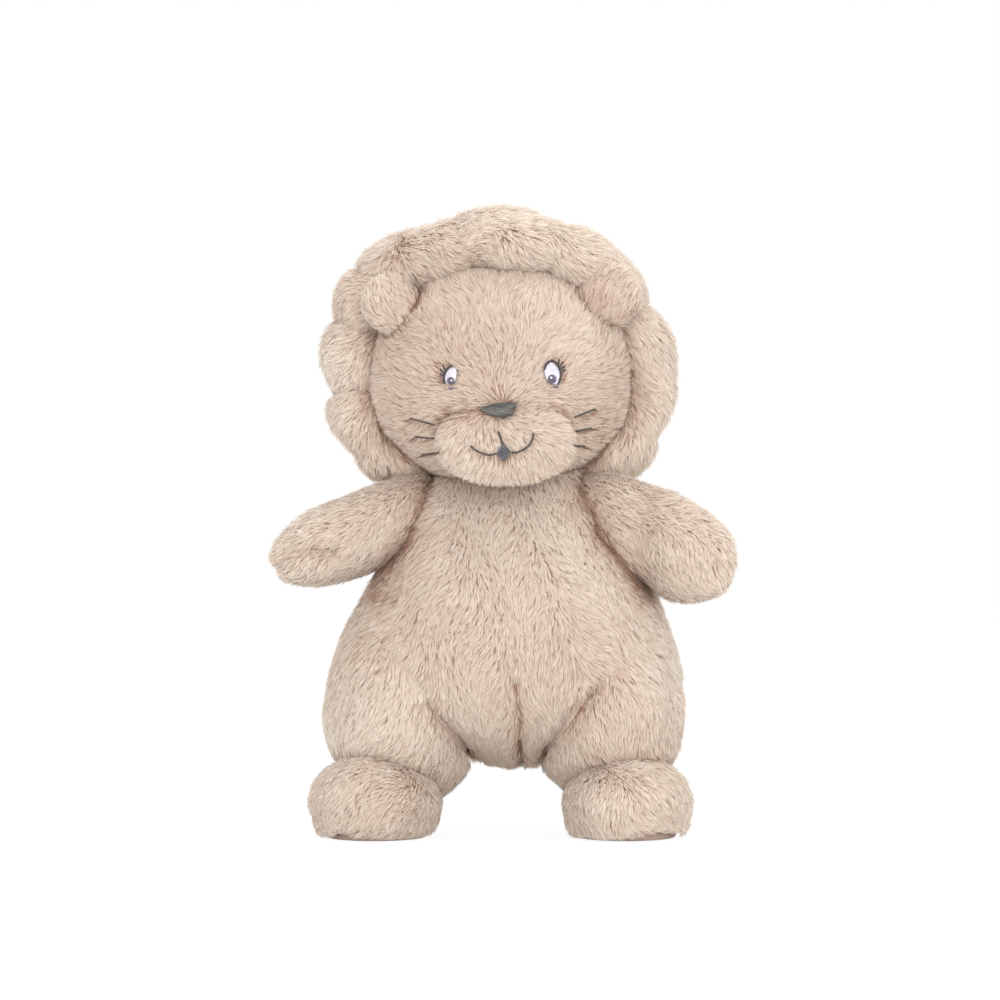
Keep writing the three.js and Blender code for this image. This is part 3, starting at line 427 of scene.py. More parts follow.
def strand_mesh(name, root, knee, tip, side, wide, tone, out):
    """Flat tapering strands: a quad from root to knee and a triangle from knee to tip, with a narrow
    strip of the UV map that holds the strand's tone across and its length upwards. The normals lie
    between the strand's own and the cloth's, so that light falls on the pile as on one soft skin."""
    count = len(root)
    root_half, knee_half = 0.4, 0.5  # half widths, as shares of the width
    points = np.stack([root - side * wide * root_half, root + side * wide * root_half,
                       knee + side * wide * knee_half, knee - side * wide * knee_half, tip], 1)
    corner = np.arange(count)[:, None] * 5 + np.array([0, 1, 2, 3, 3, 2, 4])
    mesh = bpy.data.meshes.new(name)
    mesh.vertices.add(count * 5)
    mesh.vertices.foreach_set("co", (points * MM).astype(np.float32).ravel())
    mesh.loops.add(count * 7)
    mesh.loops.foreach_set("vertex_index", corner.astype(np.int32).ravel())
    mesh.polygons.add(count * 2)
    starts = np.arange(count)[:, None] * 7 + np.array([0, 4])
    mesh.polygons.foreach_set("loop_start", starts.astype(np.int32).ravel())
    mesh.polygons.foreach_set("use_smooth", np.ones(count * 2, bool))
    mesh.update(calc_edges=True)
    own_share, cloth_share = 0.45, 0.55
    soft = unit(unit(np.cross(side, tip - root)) * own_share + out * cloth_share)
    normals = mesh.attributes.new("custom_normal", "FLOAT_VECTOR", "POINT")
    normals.data.foreach_set("vector", np.repeat(soft, 5, axis=0).astype(np.float32).ravel())
    strip, low, half, high = 0.004, 0.03, 0.5, 0.97  # width, and heights of root, knee and tip
    u = tone[:, None] + strip * np.array([0, 1, 1, 0, 0, 1, 0.5])
    v = np.broadcast_to(np.array([low, low, half, half, half, half, high]), u.shape)
    uv = mesh.uv_layers.new(name="OFBake")
    uv.data.foreach_set("uv", np.stack([u, v], -1).astype(np.float32).ravel())
    return mesh


MOST_STRANDS = 66000  # in one piece, under 200,000 triangles
TURNING = {"tuft": 0.36, "strand": 0.14}  # radians off the flow
LIFTING = {"tuft": 0.18, "strand": 0.08}  # radians off the lift
BOW = 0.3  # radians that a strand's lower half is steeper and its upper half flatter
TWISTING = 0.9  # radians round the strand
LEAST_SHARE = {"tuft": 0.88, "strand": 0.85, "width": 0.8}  # of the length or the width
CHANCE_SHARE = {"tuft": 0.2, "strand": 0.25, "width": 0.4}  # that chance adds to it
PRESSED_SHORTER = 0.2  # share of the length lost in a crease
GATHER = {"knee": 0.11, "tip": 0.23}  # share of the way to the tuft's middle
MIDDLE_TONE = 0.69
# Tone spans: by tuft, by strand and by slow wave, which are the pile's own, and crease, which is the painted
# crease shade
TONE_RANGE = {"tuft": 0.2, "strand": 0.24, "wave": 0.09, "crease": 0.5}
WAVE_SIZES = {"turn": 27, "tone": 60}
CREASE_STEPS = ((5, 0.25), (1.5, 0.35), (-1, 0.4))  # distance to a form that presses on the pile and shades it, and what it adds to the crease: shorter strands and a painted crease shade
LOWEST = 0.3  # no strand comes nearer to the floor


def pile(name, grid, flow, others, slot, seed, **given):
    """Pile on a cloth grid. Each strand leans along flow, which wanders with a slow wave and from tuft to
    tuft, rises by its lift, bows over at its knee, and is drawn towards its tuft's middle at the tip.
    Strands that start inside one of the other forms are left out, and those in a crease with one of the
    forms that press and shade the pile, which are the others unless given, are short and take a painted
    crease shade. keep says where pile grows, stop cuts strands short, trim scales their length, and
    shade, which is painted shade, is added to their tone."""
    sizes = bpy.context.scene.lion_pile
    way = {"length": sizes.body_pile / MM, "width": sizes.strand / MM, "tuft": sizes.tuft / MM,
           "density": sizes.density, "depth": sizes.depth / MM, "lift": 26, "swirl": 0.36, "tone": 0.0,
           "keep": None, "stop": None, "shade": None, "trim": None, "pressing": others}
    way.update(given)
    rng = np.random.default_rng(seed)
    root, out = scatter(*grid, way["density"], rng)
    kept = np.ones(len(root), bool)
    for form in others:
        kept &= ~form.holds(root, -way["depth"] - SEAM)
    if way["keep"] is not None:
        kept &= way["keep"](root)
    root, out = root[kept], out[kept]
    count = len(root)
    # How deep each strand sits in a crease: such strands are shorter, and take a painted crease shade
    crease = np.zeros(count)
    for form in way["pressing"]:
        crease = np.maximum(crease, sum(form.holds(root, near) * share for near, share in CREASE_STEPS))
    lean = flow(root)
    lean = unit(lean - out * dot(lean, out))
    middle, shared = tufts(root, way["tuft"])
    bend = (way["swirl"] * waves(root, WAVE_SIZES["turn"], seed) + TURNING["tuft"] * (shared[0] - 0.5)
            + TURNING["strand"] * rng.normal(size=count))[:, None]
    lean = lean * np.cos(bend) + np.cross(out, lean) * np.sin(bend)
    lift = (np.radians(way["lift"]) + LIFTING["tuft"] * (shared[1] - 0.5)
            + LIFTING["strand"] * rng.normal(size=count))[:, None]
    long = (way["length"] * (LEAST_SHARE["tuft"] + CHANCE_SHARE["tuft"] * shared[2])
            * (LEAST_SHARE["strand"] + CHANCE_SHARE["strand"] * rng.random(count))
            * (1 - PRESSED_SHORTER * crease))
    if way["trim"] is not None:
        long = long * way["trim"](root)
    long = long[:, None]
    knee = root + long * 0.5 * (lean * np.cos(lift + BOW) + out * np.sin(lift + BOW))
    tip = knee + long * 0.5 * (lean * np.cos(lift - BOW) + out * np.sin(lift - BOW))
    inward = middle - root
    inward -= out * dot(inward, out)
    knee += inward * GATHER["knee"]
    tip += inward * GATHER["tip"]
    if way["stop"] is not None:
        clear = way["stop"](root, tip)[:, None]
        knee, tip = root + (knee - root) * clear, root + (tip - root) * clear
    for points in (knee, tip):
        points[:, 2] = np.maximum(points[:, 2], LOWEST)
    side = unit(np.cross(lean, out))
    twist = TWISTING * rng.normal(size=(count, 1))
    side = side * np.cos(twist) + unit(np.cross(side, tip - root)) * np.sin(twist)
    side *= np.where(dot(np.cross(side, tip - root), out) < 0, -1, 1)
    wide = (way["width"] * (LEAST_SHARE["width"] + CHANCE_SHARE["width"] * rng.random(count)))[:, None]
    tone = (MIDDLE_TONE + way["tone"] + TONE_RANGE["tuft"] * (shared[3] - 0.5)
            + TONE_RANGE["strand"] * (rng.random(count) - 0.5))
    # Slow waves of the pile's own tone, less the painted crease shade, then plus the painted shade that the
    # piece gives
    tone += TONE_RANGE["wave"] * waves(root, WAVE_SIZES["tone"], seed + 1) - TONE_RANGE["crease"] * crease
    if way["shade"] is not None:
        tone += way["shade"](root)
    tone = np.clip(tone, 0.02, 0.97)  # keeps the strip inside the UV square
    parts = -(-count // MOST_STRANDS)
    for part, chosen in enumerate(np.array_split(np.arange(count), parts)):
        title = f"{name}_pile_{part + 1}" if parts > 1 else f"{name}_pile"
        mesh = strand_mesh(title, *(values[chosen] for values in (root, knee, tip, side, wide, tone, out)))
        add_piece(title, mesh, rabbit_pile())


# Finishes

def node(tree, kind, links=(), stops=(), **settings):
    """Adds a node, sets its properties or sockets by name, links sockets given as (socket, output), and
    sets a ramp's stops given as (place, colour)."""
    made = tree.nodes.new(kind)
    for name, value in settings.items():
        if hasattr(made, name):
            setattr(made, name, value)
        else:
            made.inputs[name.replace("_", " ")].default_value = value
    for socket, output in links:
        tree.links.new(output, made.inputs[socket])
    for k, (place, value) in enumerate(stops):
        made.color_ramp.elements[k].position = place
        made.color_ramp.elements[k].color = rgba(value)
    return made


def finish(name, build):
    """A material of that name, made once. build gets its node tree and its Principled shader."""
    found = bpy.data.materials.get(name)
    if found is None:
        found = bpy.data.materials.new(name)
        found.use_nodes = True
        build(found.node_tree, found.node_tree.nodes["Principled BSDF"])
    return found


def set_shader(shader, **values):
    for name, value in values.items():
        shader.inputs[name.replace("_", " ")].default_value = value


def rgba(value):
    return (*value[:3], 1.0)


def output_of(tree):
    return next(n for n in tree.nodes if n.type == "OUTPUT_MATERIAL")


def seen_directly(tree):
    """1 where the camera, a mirror or glass looks at the surface, and 0 for all other light."""
    path = node(tree, "ShaderNodeLightPath")
    seen = path.outputs["Is Camera Ray"]
    for ray in ("Is Glossy Ray", "Is Transmission Ray"):
        either = node(tree, "ShaderNodeMath", [(0, seen), (1, path.outputs[ray])], operation="MAXIMUM")
        seen = either.outputs[0]
    return seen


TIP_AT = 0.75  # height on a strand where the tip's colour is reached
FOLD_TONES = {"From_Min": 0.05, "From_Max": 0.32}  # tones at which the painted crease shade's colours are full and gone
LIGHT_THROUGH = 0.5


def rabbit_pile():
    """Faux rabbit pile, acrylic, heat-set and brushed. Each strand is darker at its root, a painted shade
    where the pile closes over it, and pale and a little silky at its tip. The tone varies from strand to
    strand, and turns to a warm brown in the folds, a painted crease shade. Half the light goes on through
    a strand, so the pile glows."""
    colours = bpy.context.scene.lion_pile

    def build(tree, shader):
        strip = node(tree, "ShaderNodeUVMap", uv_map="OFBake")
        parts = node(tree, "ShaderNodeSeparateXYZ", [("Vector", strip.outputs["UV"])])
        ends = ((colours.root_shade, colours.tip_shade), (colours.root_light, colours.tip_light),
                (colours.root_crease_shade, colours.tip_crease_shade))
        # From root to tip, the root darker as painted shade
        ramps = [node(tree, "ShaderNodeValToRGB", [("Fac", parts.outputs["Y"])],
                      [(0.0, root), (TIP_AT, tip)]) for root, tip in ends]
        shade, light, fold = (made.outputs["Color"] for made in ramps)
        upright = node(tree, "ShaderNodeMix", [(0, parts.outputs["X"]), (6, shade), (7, light)],
                       data_type="RGBA")
        # Low tones, which come from the painted crease shade, turn to the crease colours
        free = node(tree, "ShaderNodeMapRange", [("Value", parts.outputs["X"])], **FOLD_TONES)
        mix = node(tree, "ShaderNodeMix", [(0, free.outputs["Result"]), (6, fold), (7, upright.outputs[2])],
                   data_type="RGBA")
        tree.links.new(mix.outputs[2], shader.inputs["Base Color"])
        set_shader(shader, Roughness=0.8, Specular_IOR_Level=0.2, Sheen_Weight=0.6, Sheen_Roughness=0.5)
        through = node(tree, "ShaderNodeBsdfTranslucent", [("Color", mix.outputs[2])])
        both = node(tree, "ShaderNodeMixShader", [(1, shader.outputs[0]), (2, through.outputs[0])])
        both.inputs[0].default_value = LIGHT_THROUGH
        tree.links.new(both.outputs[0], output_of(tree).inputs["Surface"])
    return finish("faux_rabbit_pile_acrylic_brushed", build)


def knitted(name, tint, loop):
    """Knitted polyester cloth: loops of the given size in metres, which the eye reads as a fine even grain
    under the pile, with slow changes of tone where the filling stretches it, about 25 mm wide."""
    def build(tree, shader):
        place = node(tree, "ShaderNodeTexCoord").outputs["Object"]
        loops = node(tree, "ShaderNodeTexVoronoi", [("Vector", place)], Scale=1 / loop)
        slow = node(tree, "ShaderNodeTexNoise", [("Vector", place)], Scale=40.0, Detail=3.0)
        fade = node(tree, "ShaderNodeMath", [(0, loops.outputs["Distance"]), (1, slow.outputs["Fac"])],
                    operation="ADD")
        dark, pale = [c * 0.72 for c in tint[:3]], [min(1, c * 1.12) for c in tint[:3]]
        tone = node(tree, "ShaderNodeValToRGB", [("Fac", fade.outputs[0])], [(0.3, pale), (1.3, dark)])
        tree.links.new(tone.outputs["Color"], shader.inputs["Base Color"])
        bump = node(tree, "ShaderNodeBump", [("Height", loops.outputs["Distance"])], Strength=0.5,
                    Distance=loop * 0.4, invert=True)
        tree.links.new(bump.outputs["Normal"], shader.inputs["Normal"])
        set_shader(shader, Roughness=0.95, Specular_IOR_Level=0.15, Sheen_Weight=0.3, Sheen_Roughness=0.6)
    return finish(name, build)


def backing_cloth():
    return knitted("polyester_backing_knitted", bpy.context.scene.lion_pile.backing, 0.0009)


def sole_cloth():
    return knitted("polyester_velour_short_nap", bpy.context.scene.lion_pile.sole, 0.0006)


def thread(name, tint, gloss=0.42, stretch=(1.0, 1.0, 1.0), uneven=1.0):
    """Trilobal polyester embroidery thread, twisted: a soft silky shine along each stitch, with lighter
    and darker threads about 0.4 mm apart and patches of about 2.4 mm, both drawn out along the way that
    stretch is small. uneven scales how far the two tones are apart."""
    def build(tree, shader):
        place = node(tree, "ShaderNodeTexCoord").outputs["Object"]
        place = node(tree, "ShaderNodeMapping", [("Vector", place)], Scale=stretch).outputs["Vector"]
        fibre = node(tree, "ShaderNodeTexNoise", [("Vector", place)], Scale=2600.0, Detail=2.0,
                     Roughness=0.6)
        slow = node(tree, "ShaderNodeTexNoise", [("Vector", place)], Scale=420.0, Detail=2.0)
        both = node(tree, "ShaderNodeMath", [(0, fibre.outputs["Fac"]), (1, slow.outputs["Fac"])],
                    operation="MULTIPLY")
        dark = [c * (1 - 0.55 * uneven) for c in tint[:3]]
        pale = [min(1, c * (1 + 0.6 * uneven)) for c in tint[:3]]
        tone = node(tree, "ShaderNodeValToRGB", [("Fac", both.outputs[0])], [(0.14, dark), (0.38, pale)])
        tree.links.new(tone.outputs["Color"], shader.inputs["Base Color"])
        bump = node(tree, "ShaderNodeBump", [("Height", fibre.outputs["Fac"])], Strength=0.35,
                    Distance=0.0001)
        tree.links.new(bump.outputs["Normal"], shader.inputs["Normal"])
        set_shader(shader, Roughness=gloss, Specular_IOR_Level=0.4, Sheen_Weight=0.2, Sheen_Roughness=0.4)
    return finish(name, build)


def moulded(name, code, rough, grain):
    """Moulded plastic from a spark-eroded tool: an even fine grain of the given size in metres, and a
    tone and shine that change a little over about 17 mm."""
    def build(tree, shader):
        place = node(tree, "ShaderNodeTexCoord").outputs["Object"]
        pits = node(tree, "ShaderNodeTexNoise", [("Vector", place)], Scale=1 / grain, Detail=3.0)
        flow = node(tree, "ShaderNodeTexNoise", [("Vector", place)], Scale=60.0, Detail=2.0)
        base = linear(code)
        tone = node(tree, "ShaderNodeValToRGB", [("Fac", flow.outputs["Fac"])],
                    [(0.3, [c * 0.93 for c in base]), (0.7, base)])
        tree.links.new(tone.outputs["Color"], shader.inputs["Base Color"])
        shine = node(tree, "ShaderNodeMapRange", [("Value", flow.outputs["Fac"])], To_Min=rough - 0.06,
                     To_Max=rough + 0.08)
        tree.links.new(shine.outputs["Result"], shader.inputs["Roughness"])
        bump = node(tree, "ShaderNodeBump", [("Height", pits.outputs["Fac"])], Strength=0.25,
                    Distance=0.00006)
        tree.links.new(bump.outputs["Normal"], shader.inputs["Normal"])
        set_shader(shader, IOR=1.53, Specular_IOR_Level=0.5)
    return finish(name, build)


def metal(name, code, rough, stretch, scratch):
    """Metal with the marks of how it was worked, scratch metres wide: lines drawn out along one way for
    ground, brushed and turned metal, an even mottle for cast metal, and a roughness that follows them."""
    def build(tree, shader):
        place = node(tree, "ShaderNodeTexCoord").outputs["Object"]
        turned = node(tree, "ShaderNodeMapping", [("Vector", place)], Scale=stretch)
        lines = node(tree, "ShaderNodeTexNoise", [("Vector", turned.outputs["Vector"])], Scale=1 / scratch,
                     Detail=4.0)
        slow = node(tree, "ShaderNodeTexNoise", [("Vector", place)], Scale=150.0, Detail=2.0)
        base = linear(code)
        tone = node(tree, "ShaderNodeValToRGB", [("Fac", slow.outputs["Fac"])],
                    [(0.35, [c * 0.86 for c in base]), (0.65, base)])
        tree.links.new(tone.outputs["Color"], shader.inputs["Base Color"])
        shine = node(tree, "ShaderNodeMapRange", [("Value", lines.outputs["Fac"])], To_Min=rough - 0.08,
                     To_Max=rough + 0.12)
        tree.links.new(shine.outputs["Result"], shader.inputs["Roughness"])
        bump = node(tree, "ShaderNodeBump", [("Height", lines.outputs["Fac"])], Strength=0.15,
                    Distance=0.00005)
        tree.links.new(bump.outputs["Normal"], shader.inputs["Normal"])
        set_shader(shader, Metallic=1.0)
    return finish(name, build)


# Face, where the embroidery lies

def eye_point():
    stage = bpy.context.scene.lion_stage
    return np.array([stage.middle_x, -stage.distance, stage.middle_z]) / MM


HEAD_HEIGHT = 100
MUZZLE_HALF = 29  # half of its length across the face
JOIN = 1.2  # rounding between the head and the muzzle


def face_front(x, z):
    """The face's outer surface: the lower Y of the head's and the muzzle's ovals, joined smoothly."""
    step = np.clip((z - HEAD.line[0, 2]) / HEAD_HEIGHT, 0.02, 0.98)
    ends = np.sqrt(1 - np.abs(2 * step - 1) ** HEAD.blunt)
    wide, deep = (spread(v, step) * ends for v in (HEAD.wide, HEAD.deep))
    head = HEAD_MIDDLE[1] - deep * np.sqrt(np.maximum(0.02, 1 - ((x - HEAD_MIDDLE[0]) / wide) ** 2))
    middle = MUZZLE.line.mean(0)
    ends = np.sqrt(np.maximum(0, 1 - np.abs((x - middle[0]) / MUZZLE_HALF) ** MUZZLE.blunt))
    high = np.maximum(MUZZLE.wide[0] * ends, LEAST)
    bulge = np.sqrt(np.maximum(0, 1 - ((z - middle[2]) / high) ** 2))
    muzzle = middle[1] - MUZZLE.deep[0] * ends * bulge
    return -JOIN * np.logaddexp(-head / JOIN, -muzzle / JOIN)


def on_face(seen, proud=0.0):
    """Points on the face under places seen from the camera on the plane through the toy's middle."""
    eye = eye_point()
    seen = np.asarray(seen, float)
    reach = np.full(seen.shape[:-1], 1.0)
    for _ in range(4):
        x = eye[0] + (seen[..., 0] - eye[0]) * reach
        z = eye[2] + (seen[..., 1] - eye[2]) * reach
        y = face_front(x, z) - proud
        reach = (y - eye[1]) / -eye[1]
    return np.stack([x, y, z], -1)


def as_seen(points):
    """Where the camera sees points, on the plane through the toy's middle."""
    eye = eye_point()
    reach = (points[..., 1] - eye[1]) / -eye[1]
    x = eye[0] + (points[..., 0] - eye[0]) / reach
    return np.stack([x, eye[2] + (points[..., 2] - eye[2]) / reach], -1)


# Outlines as seen from the front, x and z in millimetres
EYE_WHITES = {
    "left": [[-23.7, 186.4], [-25.0, 188.4], [-24.3, 191.4], [-22.2, 193.2], [-20.4, 192.6], [-20.3, 189.2],
             [-21.4, 186.8]],
    "right": [[19.0, 186.8], [16.6, 190.0], [16.8, 193.8], [19.2, 195.4], [21.8, 193.2], [22.9, 189.6],
              [21.6, 186.6]],
}
IRISES = {"left": (-22.6, 187.8, 1.6), "right": (19.6, 188.5, 1.9)}  # x, z and radius
GLINTS = {"left": (0.35, 0.1), "right": (-0.45, 0.55)}  # pupil and glint off the iris's middle
LIDS = {
    "left": [[-25.2, 186.4], [-25.5, 189.2], [-24.7, 191.8], [-23.3, 193.5], [-21.8, 194.3]],
    "right": [[16.3, 192.2], [17.3, 194.9], [19.3, 196.1], [21.5, 195.0], [22.9, 192.5], [23.2, 189.8],
              [22.0, 186.3]],
}
LASHES = {
    "left": [[[-24.8, 191.8], [-26.0, 194.7]], [[-25.3, 190.6], [-27.2, 193.0]],
             [[-25.3, 189.4], [-27.1, 190.9]], [[-23.4, 193.4], [-22.0, 194.5]]],
    "right": [[[22.1, 194.0], [22.5, 197.0]], [[22.7, 193.4], [24.2, 195.9]], [[23.0, 192.4], [25.0, 194.0]],
              [[23.2, 191.6], [25.3, 192.4]]],
}
UNDER_EYES = {"left": [[-23.6, 185.0], [-22.3, 184.6], [-21.3, 184.9]],
              "right": [[20.0, 185.4], [21.2, 185.0], [22.4, 185.3]]}
NOSE_LEFT = [[-3.4, 178.6], [-7.3, 177.4], [-10.2, 176.2], [-7.4, 174.5], [-4.4, 173.2], [-1.6, 172.7]]
NOSE_RIGHT = [[-2.5, 178.7], [3.4, 178.7], [4.6, 178.2], [3.7, 175.8], [3.0, 173.9], [0.2, 172.8]]
DIAMOND = [[[-3.6, 157.5], [-0.8, 160.9], [2.6, 158.0]], [[-3.6, 157.5], [-0.8, 154.4], [2.6, 158.0]]]
MOUTH = {
    "mouth_lip": [[-2.9, 166.9], [-1.9, 164.1], [-0.9, 160.7]],
    "mouth_left": [[-3.4, 157.6], [-6.9, 157.0], [-11.6, 158.6], [-14.6, 160.9]],
    "mouth_right": [[2.4, 158.1], [4.9, 158.0], [9.2, 160.3], [11.3, 163.3], [11.9, 166.2]],
}
WHISKERS = {
    "left": [[[-39.9, 172.3], [-29.1, 169.4]], [[-37.6, 164.5], [-29.3, 163.8]],
             [[-34.7, 157.1], [-27.1, 158.0]]],
    "right": [[[37.5, 176.1], [28.6, 172.5]], [[36.2, 168.2], [29.2, 166.7]],
              [[33.6, 160.6], [28.2, 160.9]]],
}
LINE_WIDTH = 0.85
FACE_BEHIND = -20  # embroidery lies in front of this y


def closed_curve(points, steps=48):
    """A smooth closed outline through points."""
    ring = np.array([*points[-2:], *points, *points[:2]])
    return curve(ring, np.linspace(2, len(points) + 2, steps, endpoint=False) / (len(points) + 3))


def within(spots, outline):
    """True where a spot is inside an outline: a line from it to the right crosses the edge an odd number
    of times."""
    a, b = np.asarray(outline), np.roll(outline, -1, 0)
    x, z = spots[:, :1], spots[:, 1:]
    spans = (a[:, 1] > z) != (b[:, 1] > z)
    rise = np.where(b[:, 1] == a[:, 1], 1e-9, b[:, 1] - a[:, 1])
    return (spans & (x < a[:, 0] + (z - a[:, 1]) / rise * (b[:, 0] - a[:, 0]))).sum(1) % 2 == 1


def under_thread(points):
    """True where embroidery covers a point of the face."""
    spots = as_seen(points)
    front = points[:, 1] < FACE_BEHIND
    covered = within(spots, NOSE_LEFT + NOSE_RIGHT[::-1]) | within(spots, DIAMOND[0] + DIAMOND[1][::-1])
    half = LINE_WIDTH / 2 - 0.1
    for side, _ in SIDES:
        covered |= within(spots, closed_curve(EYE_WHITES[side]))
        covered |= off_chain(spots, LIDS[side]) < half + 0.1
        for path in [*LASHES[side], *WHISKERS[side]]:
            covered |= off_chain(spots, path) < half
    for path in MOUTH.values():
        covered |= off_chain(spots, path) < half
    return covered & front


def stop_at_thread(root, tip):
    """How much of each strand is left before it would lie over embroidery."""
    clear = np.ones(len(root))
    for share in (1.0, 0.8, 0.6, 0.4, 0.2):
        clear[under_thread(root + (tip - root) * share)] = share - 0.1
    return clear


def satin(name, first, second, finish_made, slot, proud, dome, replaced=(), ragged=0.0):
    """Satin stitch: threads side by side from one edge to the other. Each point lies on the line between
    the two edges, raised by a dome along the thread and by one round ridge for each thread, and the
    underside lies in the pile below. Each thread ends up to ragged beyond or short of its edge."""
    first, second = np.asarray(first, float), np.asarray(second, float)
    span = np.linalg.norm(np.diff(first, axis=0), axis=1).sum()
    rows = max(4, int(span / (bpy.context.scene.lion_thread.ridge / MM)))
    steps_across_thread, steps_along_thread = 6, 10
    across = np.linspace(0, 1, rows * steps_across_thread + 1)
    down = (1 - np.cos(np.linspace(0, np.pi, steps_along_thread)))[None, :, None] / 2
    edge, far_edge = curve(first, across)[:, None], curve(second, across)[:, None]
    ends = np.random.default_rng(rows).uniform(-ragged, ragged, (2, rows))
    ends = ends[:, np.minimum((across * rows).astype(int), rows - 1), None, None] * unit(far_edge - edge)
    edge, far_edge = edge + ends[0], far_edge + ends[1]
    seen = edge * (1 - down) + far_edge * down
    ridge_height, sunk = 0.16, 2.6
    ridge = ridge_height * np.sqrt(np.maximum(0, 1 - (2 * ((across * rows) % 1) - 1) ** 2))[:, None]
    high = proud + (dome + ridge) * np.sqrt(np.maximum(0, 1 - (2 * down[..., 0] - 1) ** 4))
    top = on_face(seen)
    under = top.copy()
    top[..., 1] -= high
    under[..., 1] += sunk
    mesh = closed_mesh(name, np.concatenate([top, under[:, ::-1]], 1))
    add_piece(name, mesh, finish_made, replaced)


def stitch_line(name, path, finish_made, wide, proud, replaced=()):
    """A chain of stitches: an oval carried along a path on the face, drawn in between one stitch and the
    next, with the thread's twist winding round it, and closed to a point at both ends."""
    path = np.asarray(path, float)
    span = np.linalg.norm(np.diff(path, axis=0), axis=1).sum()
    stitches = max(1, round(span / (bpy.context.scene.lion_thread.stitch / MM)))
    steps_a_millimetre, around, twist_long = 7, 12, 1.1
    way = np.linspace(0, 1, max(24, int(span * steps_a_millimetre)))
    middle = on_face(curve(path, way), proud)
    tangent = unit(np.gradient(middle, axis=0))
    outward = np.array([0, -1.0, 0])
    side = unit(np.cross(tangent, outward))
    outward = np.cross(side, tangent)
    drawn = 0.74 + 0.26 * np.abs(np.sin(np.pi * stitches * way)) ** 0.5
    drawn *= np.sqrt(np.maximum(0, 1 - np.abs(2 * way - 1) ** 14)) + 0.02
    angle = np.linspace(0, 2 * np.pi, around, endpoint=False)
    twist = 1 + 0.09 * np.cos(2 * angle + 2 * np.pi * span * way[:, None] / twist_long)
    size = (wide / 2 * drawn[:, None] * twist)[..., None]
    flatness = 0.75
    rings = (middle[:, None] + side[:, None] * size * np.cos(angle)[:, None]
             + outward[:, None] * size * flatness * np.sin(angle)[:, None])
    add_piece(name, closed_mesh(name, rings), finish_made, replaced)


# Flows of the pile

def down_and_out(points):
    """Down the body, and outwards on its flanks."""
    flow = np.zeros_like(points)
    flow[:, 0] = 0.9 * np.sign(points[:, 0]) * smooth(12, 60, np.abs(points[:, 0]))
    flow[:, 2] = -1
    return flow


NOSE_TOP = (-1.5, -58, 175.8)


def from_nose(points):
    """Away from the top of the nose, less so backwards, and down the back of the head."""
    flow = points - np.array(NOSE_TOP)
    flow[:, 1] *= 0.6
    back = smooth(-5, 30, points[:, 1])[:, None]
    return unit(flow) * (1 - back) + np.array([0, 0, -1.0]) * back


FACE_RADIUS = 50  # where the mane's inner side meets the face
PARTING = -44  # crown's parting, along X from the mane's middle


def off_the_roll(points):
    """At both sides down along the ring, outwards on the roll's outer side and towards the face on its inner
    side. Over the crown down, and away to both sides from a parting by the left ear, forwards in front
    and backwards behind."""
    off = points - MANE.middle
    far = np.hypot(off[:, 0], off[:, 2])
    out = np.stack([off[:, 0], np.zeros(len(off)), off[:, 2]], -1) / far[:, None]
    turn = np.tanh((far - FACE_RADIUS) / 7)[:, None]
    front = smooth(10, -6, points[:, 1])[:, None]
    down = np.stack([out[:, 2], np.zeros(len(off)), -out[:, 0]], -1) * np.sign(off[:, :1])
    side = out * (turn * front * 0.8 + 0.25) + down * 0.9 + np.array([0, 0.35, -0.2])
    over = np.stack([np.tanh((off[:, 0] - PARTING) / 18), -0.2 * np.tanh((9 - off[:, 1]) / 6),
                     np.full(len(off), -0.45)], -1)
    crown = smooth(0.45, 0.85, out[:, 2])[:, None]
    return side * (1 - crown) + over * crown


def along(vector):
    """One fixed way."""
    return lambda points: np.broadcast_to(np.array(vector, float), points.shape).copy()


def lumps(height, size, seed, *more):
    """A displacement of the cloth: slow lumps of filling, and more displacements given as functions."""
    return lambda points: height * waves(points, size, seed) + sum(f(points) for f in more)


def groove(path, wide, deep):
    """A drawn-in seam on the front: a dent across a chain of points in x and z, deepest in its middle."""
    def dent(points):
        return -deep * np.exp(-(off_chain(points[:, [0, 2]], path) / wide) ** 2) * (points[:, 1] < 0)
    return dent


# Seams and folds on the front: x and z in millimetres, then width and depth where they are given
CENTRE_SEAM = [[4.1, 66], [4.8, 54], [6.0, 42], [6.2, 32]]
# Paths and widths of the painted shadow under the arms
UNDER_ARMS = (([[-34, 126], [-42, 114], [-49, 101]], 8.5), ([[41, 123], [49, 112], [55, 100]], 6.5))
ARM_FOLDS = {"left": ([[-104, 110], [-92, 112], [-86, 117], [-78, 119], [-70, 118]], 3.4, 4.4),
             "right": ([[57, 137], [55, 130], [53, 119], [57, 103]], 5.0, 1.5)}
PAW_SWELL = {"left": 0.0, "right": 2.6}
ARM_DROP = {"left": -0.35, "right": -0.9}  # how far the pile of an arm hangs down from its length
THIGH_LINES = ([[60, 80], [47, 72], [35, 59], [22, 43], [13, 31]], [[-33, 57], [-22, 45], [-12, 33]])


def thigh_lines(points):
    """The two drawn-in lines between the belly and the thighs."""
    return sum(groove(path, 3.0, 1.8)(points) for path in THIGH_LINES) * smooth(82, 62, points[:, 2])


def shadow_under_arms(points):
    """Minus 1 in the painted shadow of the two folds where an arm lies over the belly, and 0 away from them.
    """
    return sum(groove(path, wide, 1.0)(points) for path, wide in UNDER_ARMS)


BACK_FROM = 10  # the back lies behind this y
EYELET = {"clear": 9.2, "near": 9.5, "far": 20}  # radii: no pile inside, trimmed pile, full pile


def off_neck(points):
    """How far a point is from the winding neck's middle line."""
    return np.hypot(points[:, 0], points[:, 2] - KEY_UP)


def round_eyelet(points):
    """How near a point on the back is to the winding neck: 1 at the eyelet, 0 away from it."""
    return (1 - smooth(EYELET["near"], EYELET["far"], off_neck(points))) * (points[:, 1] > BACK_FROM)


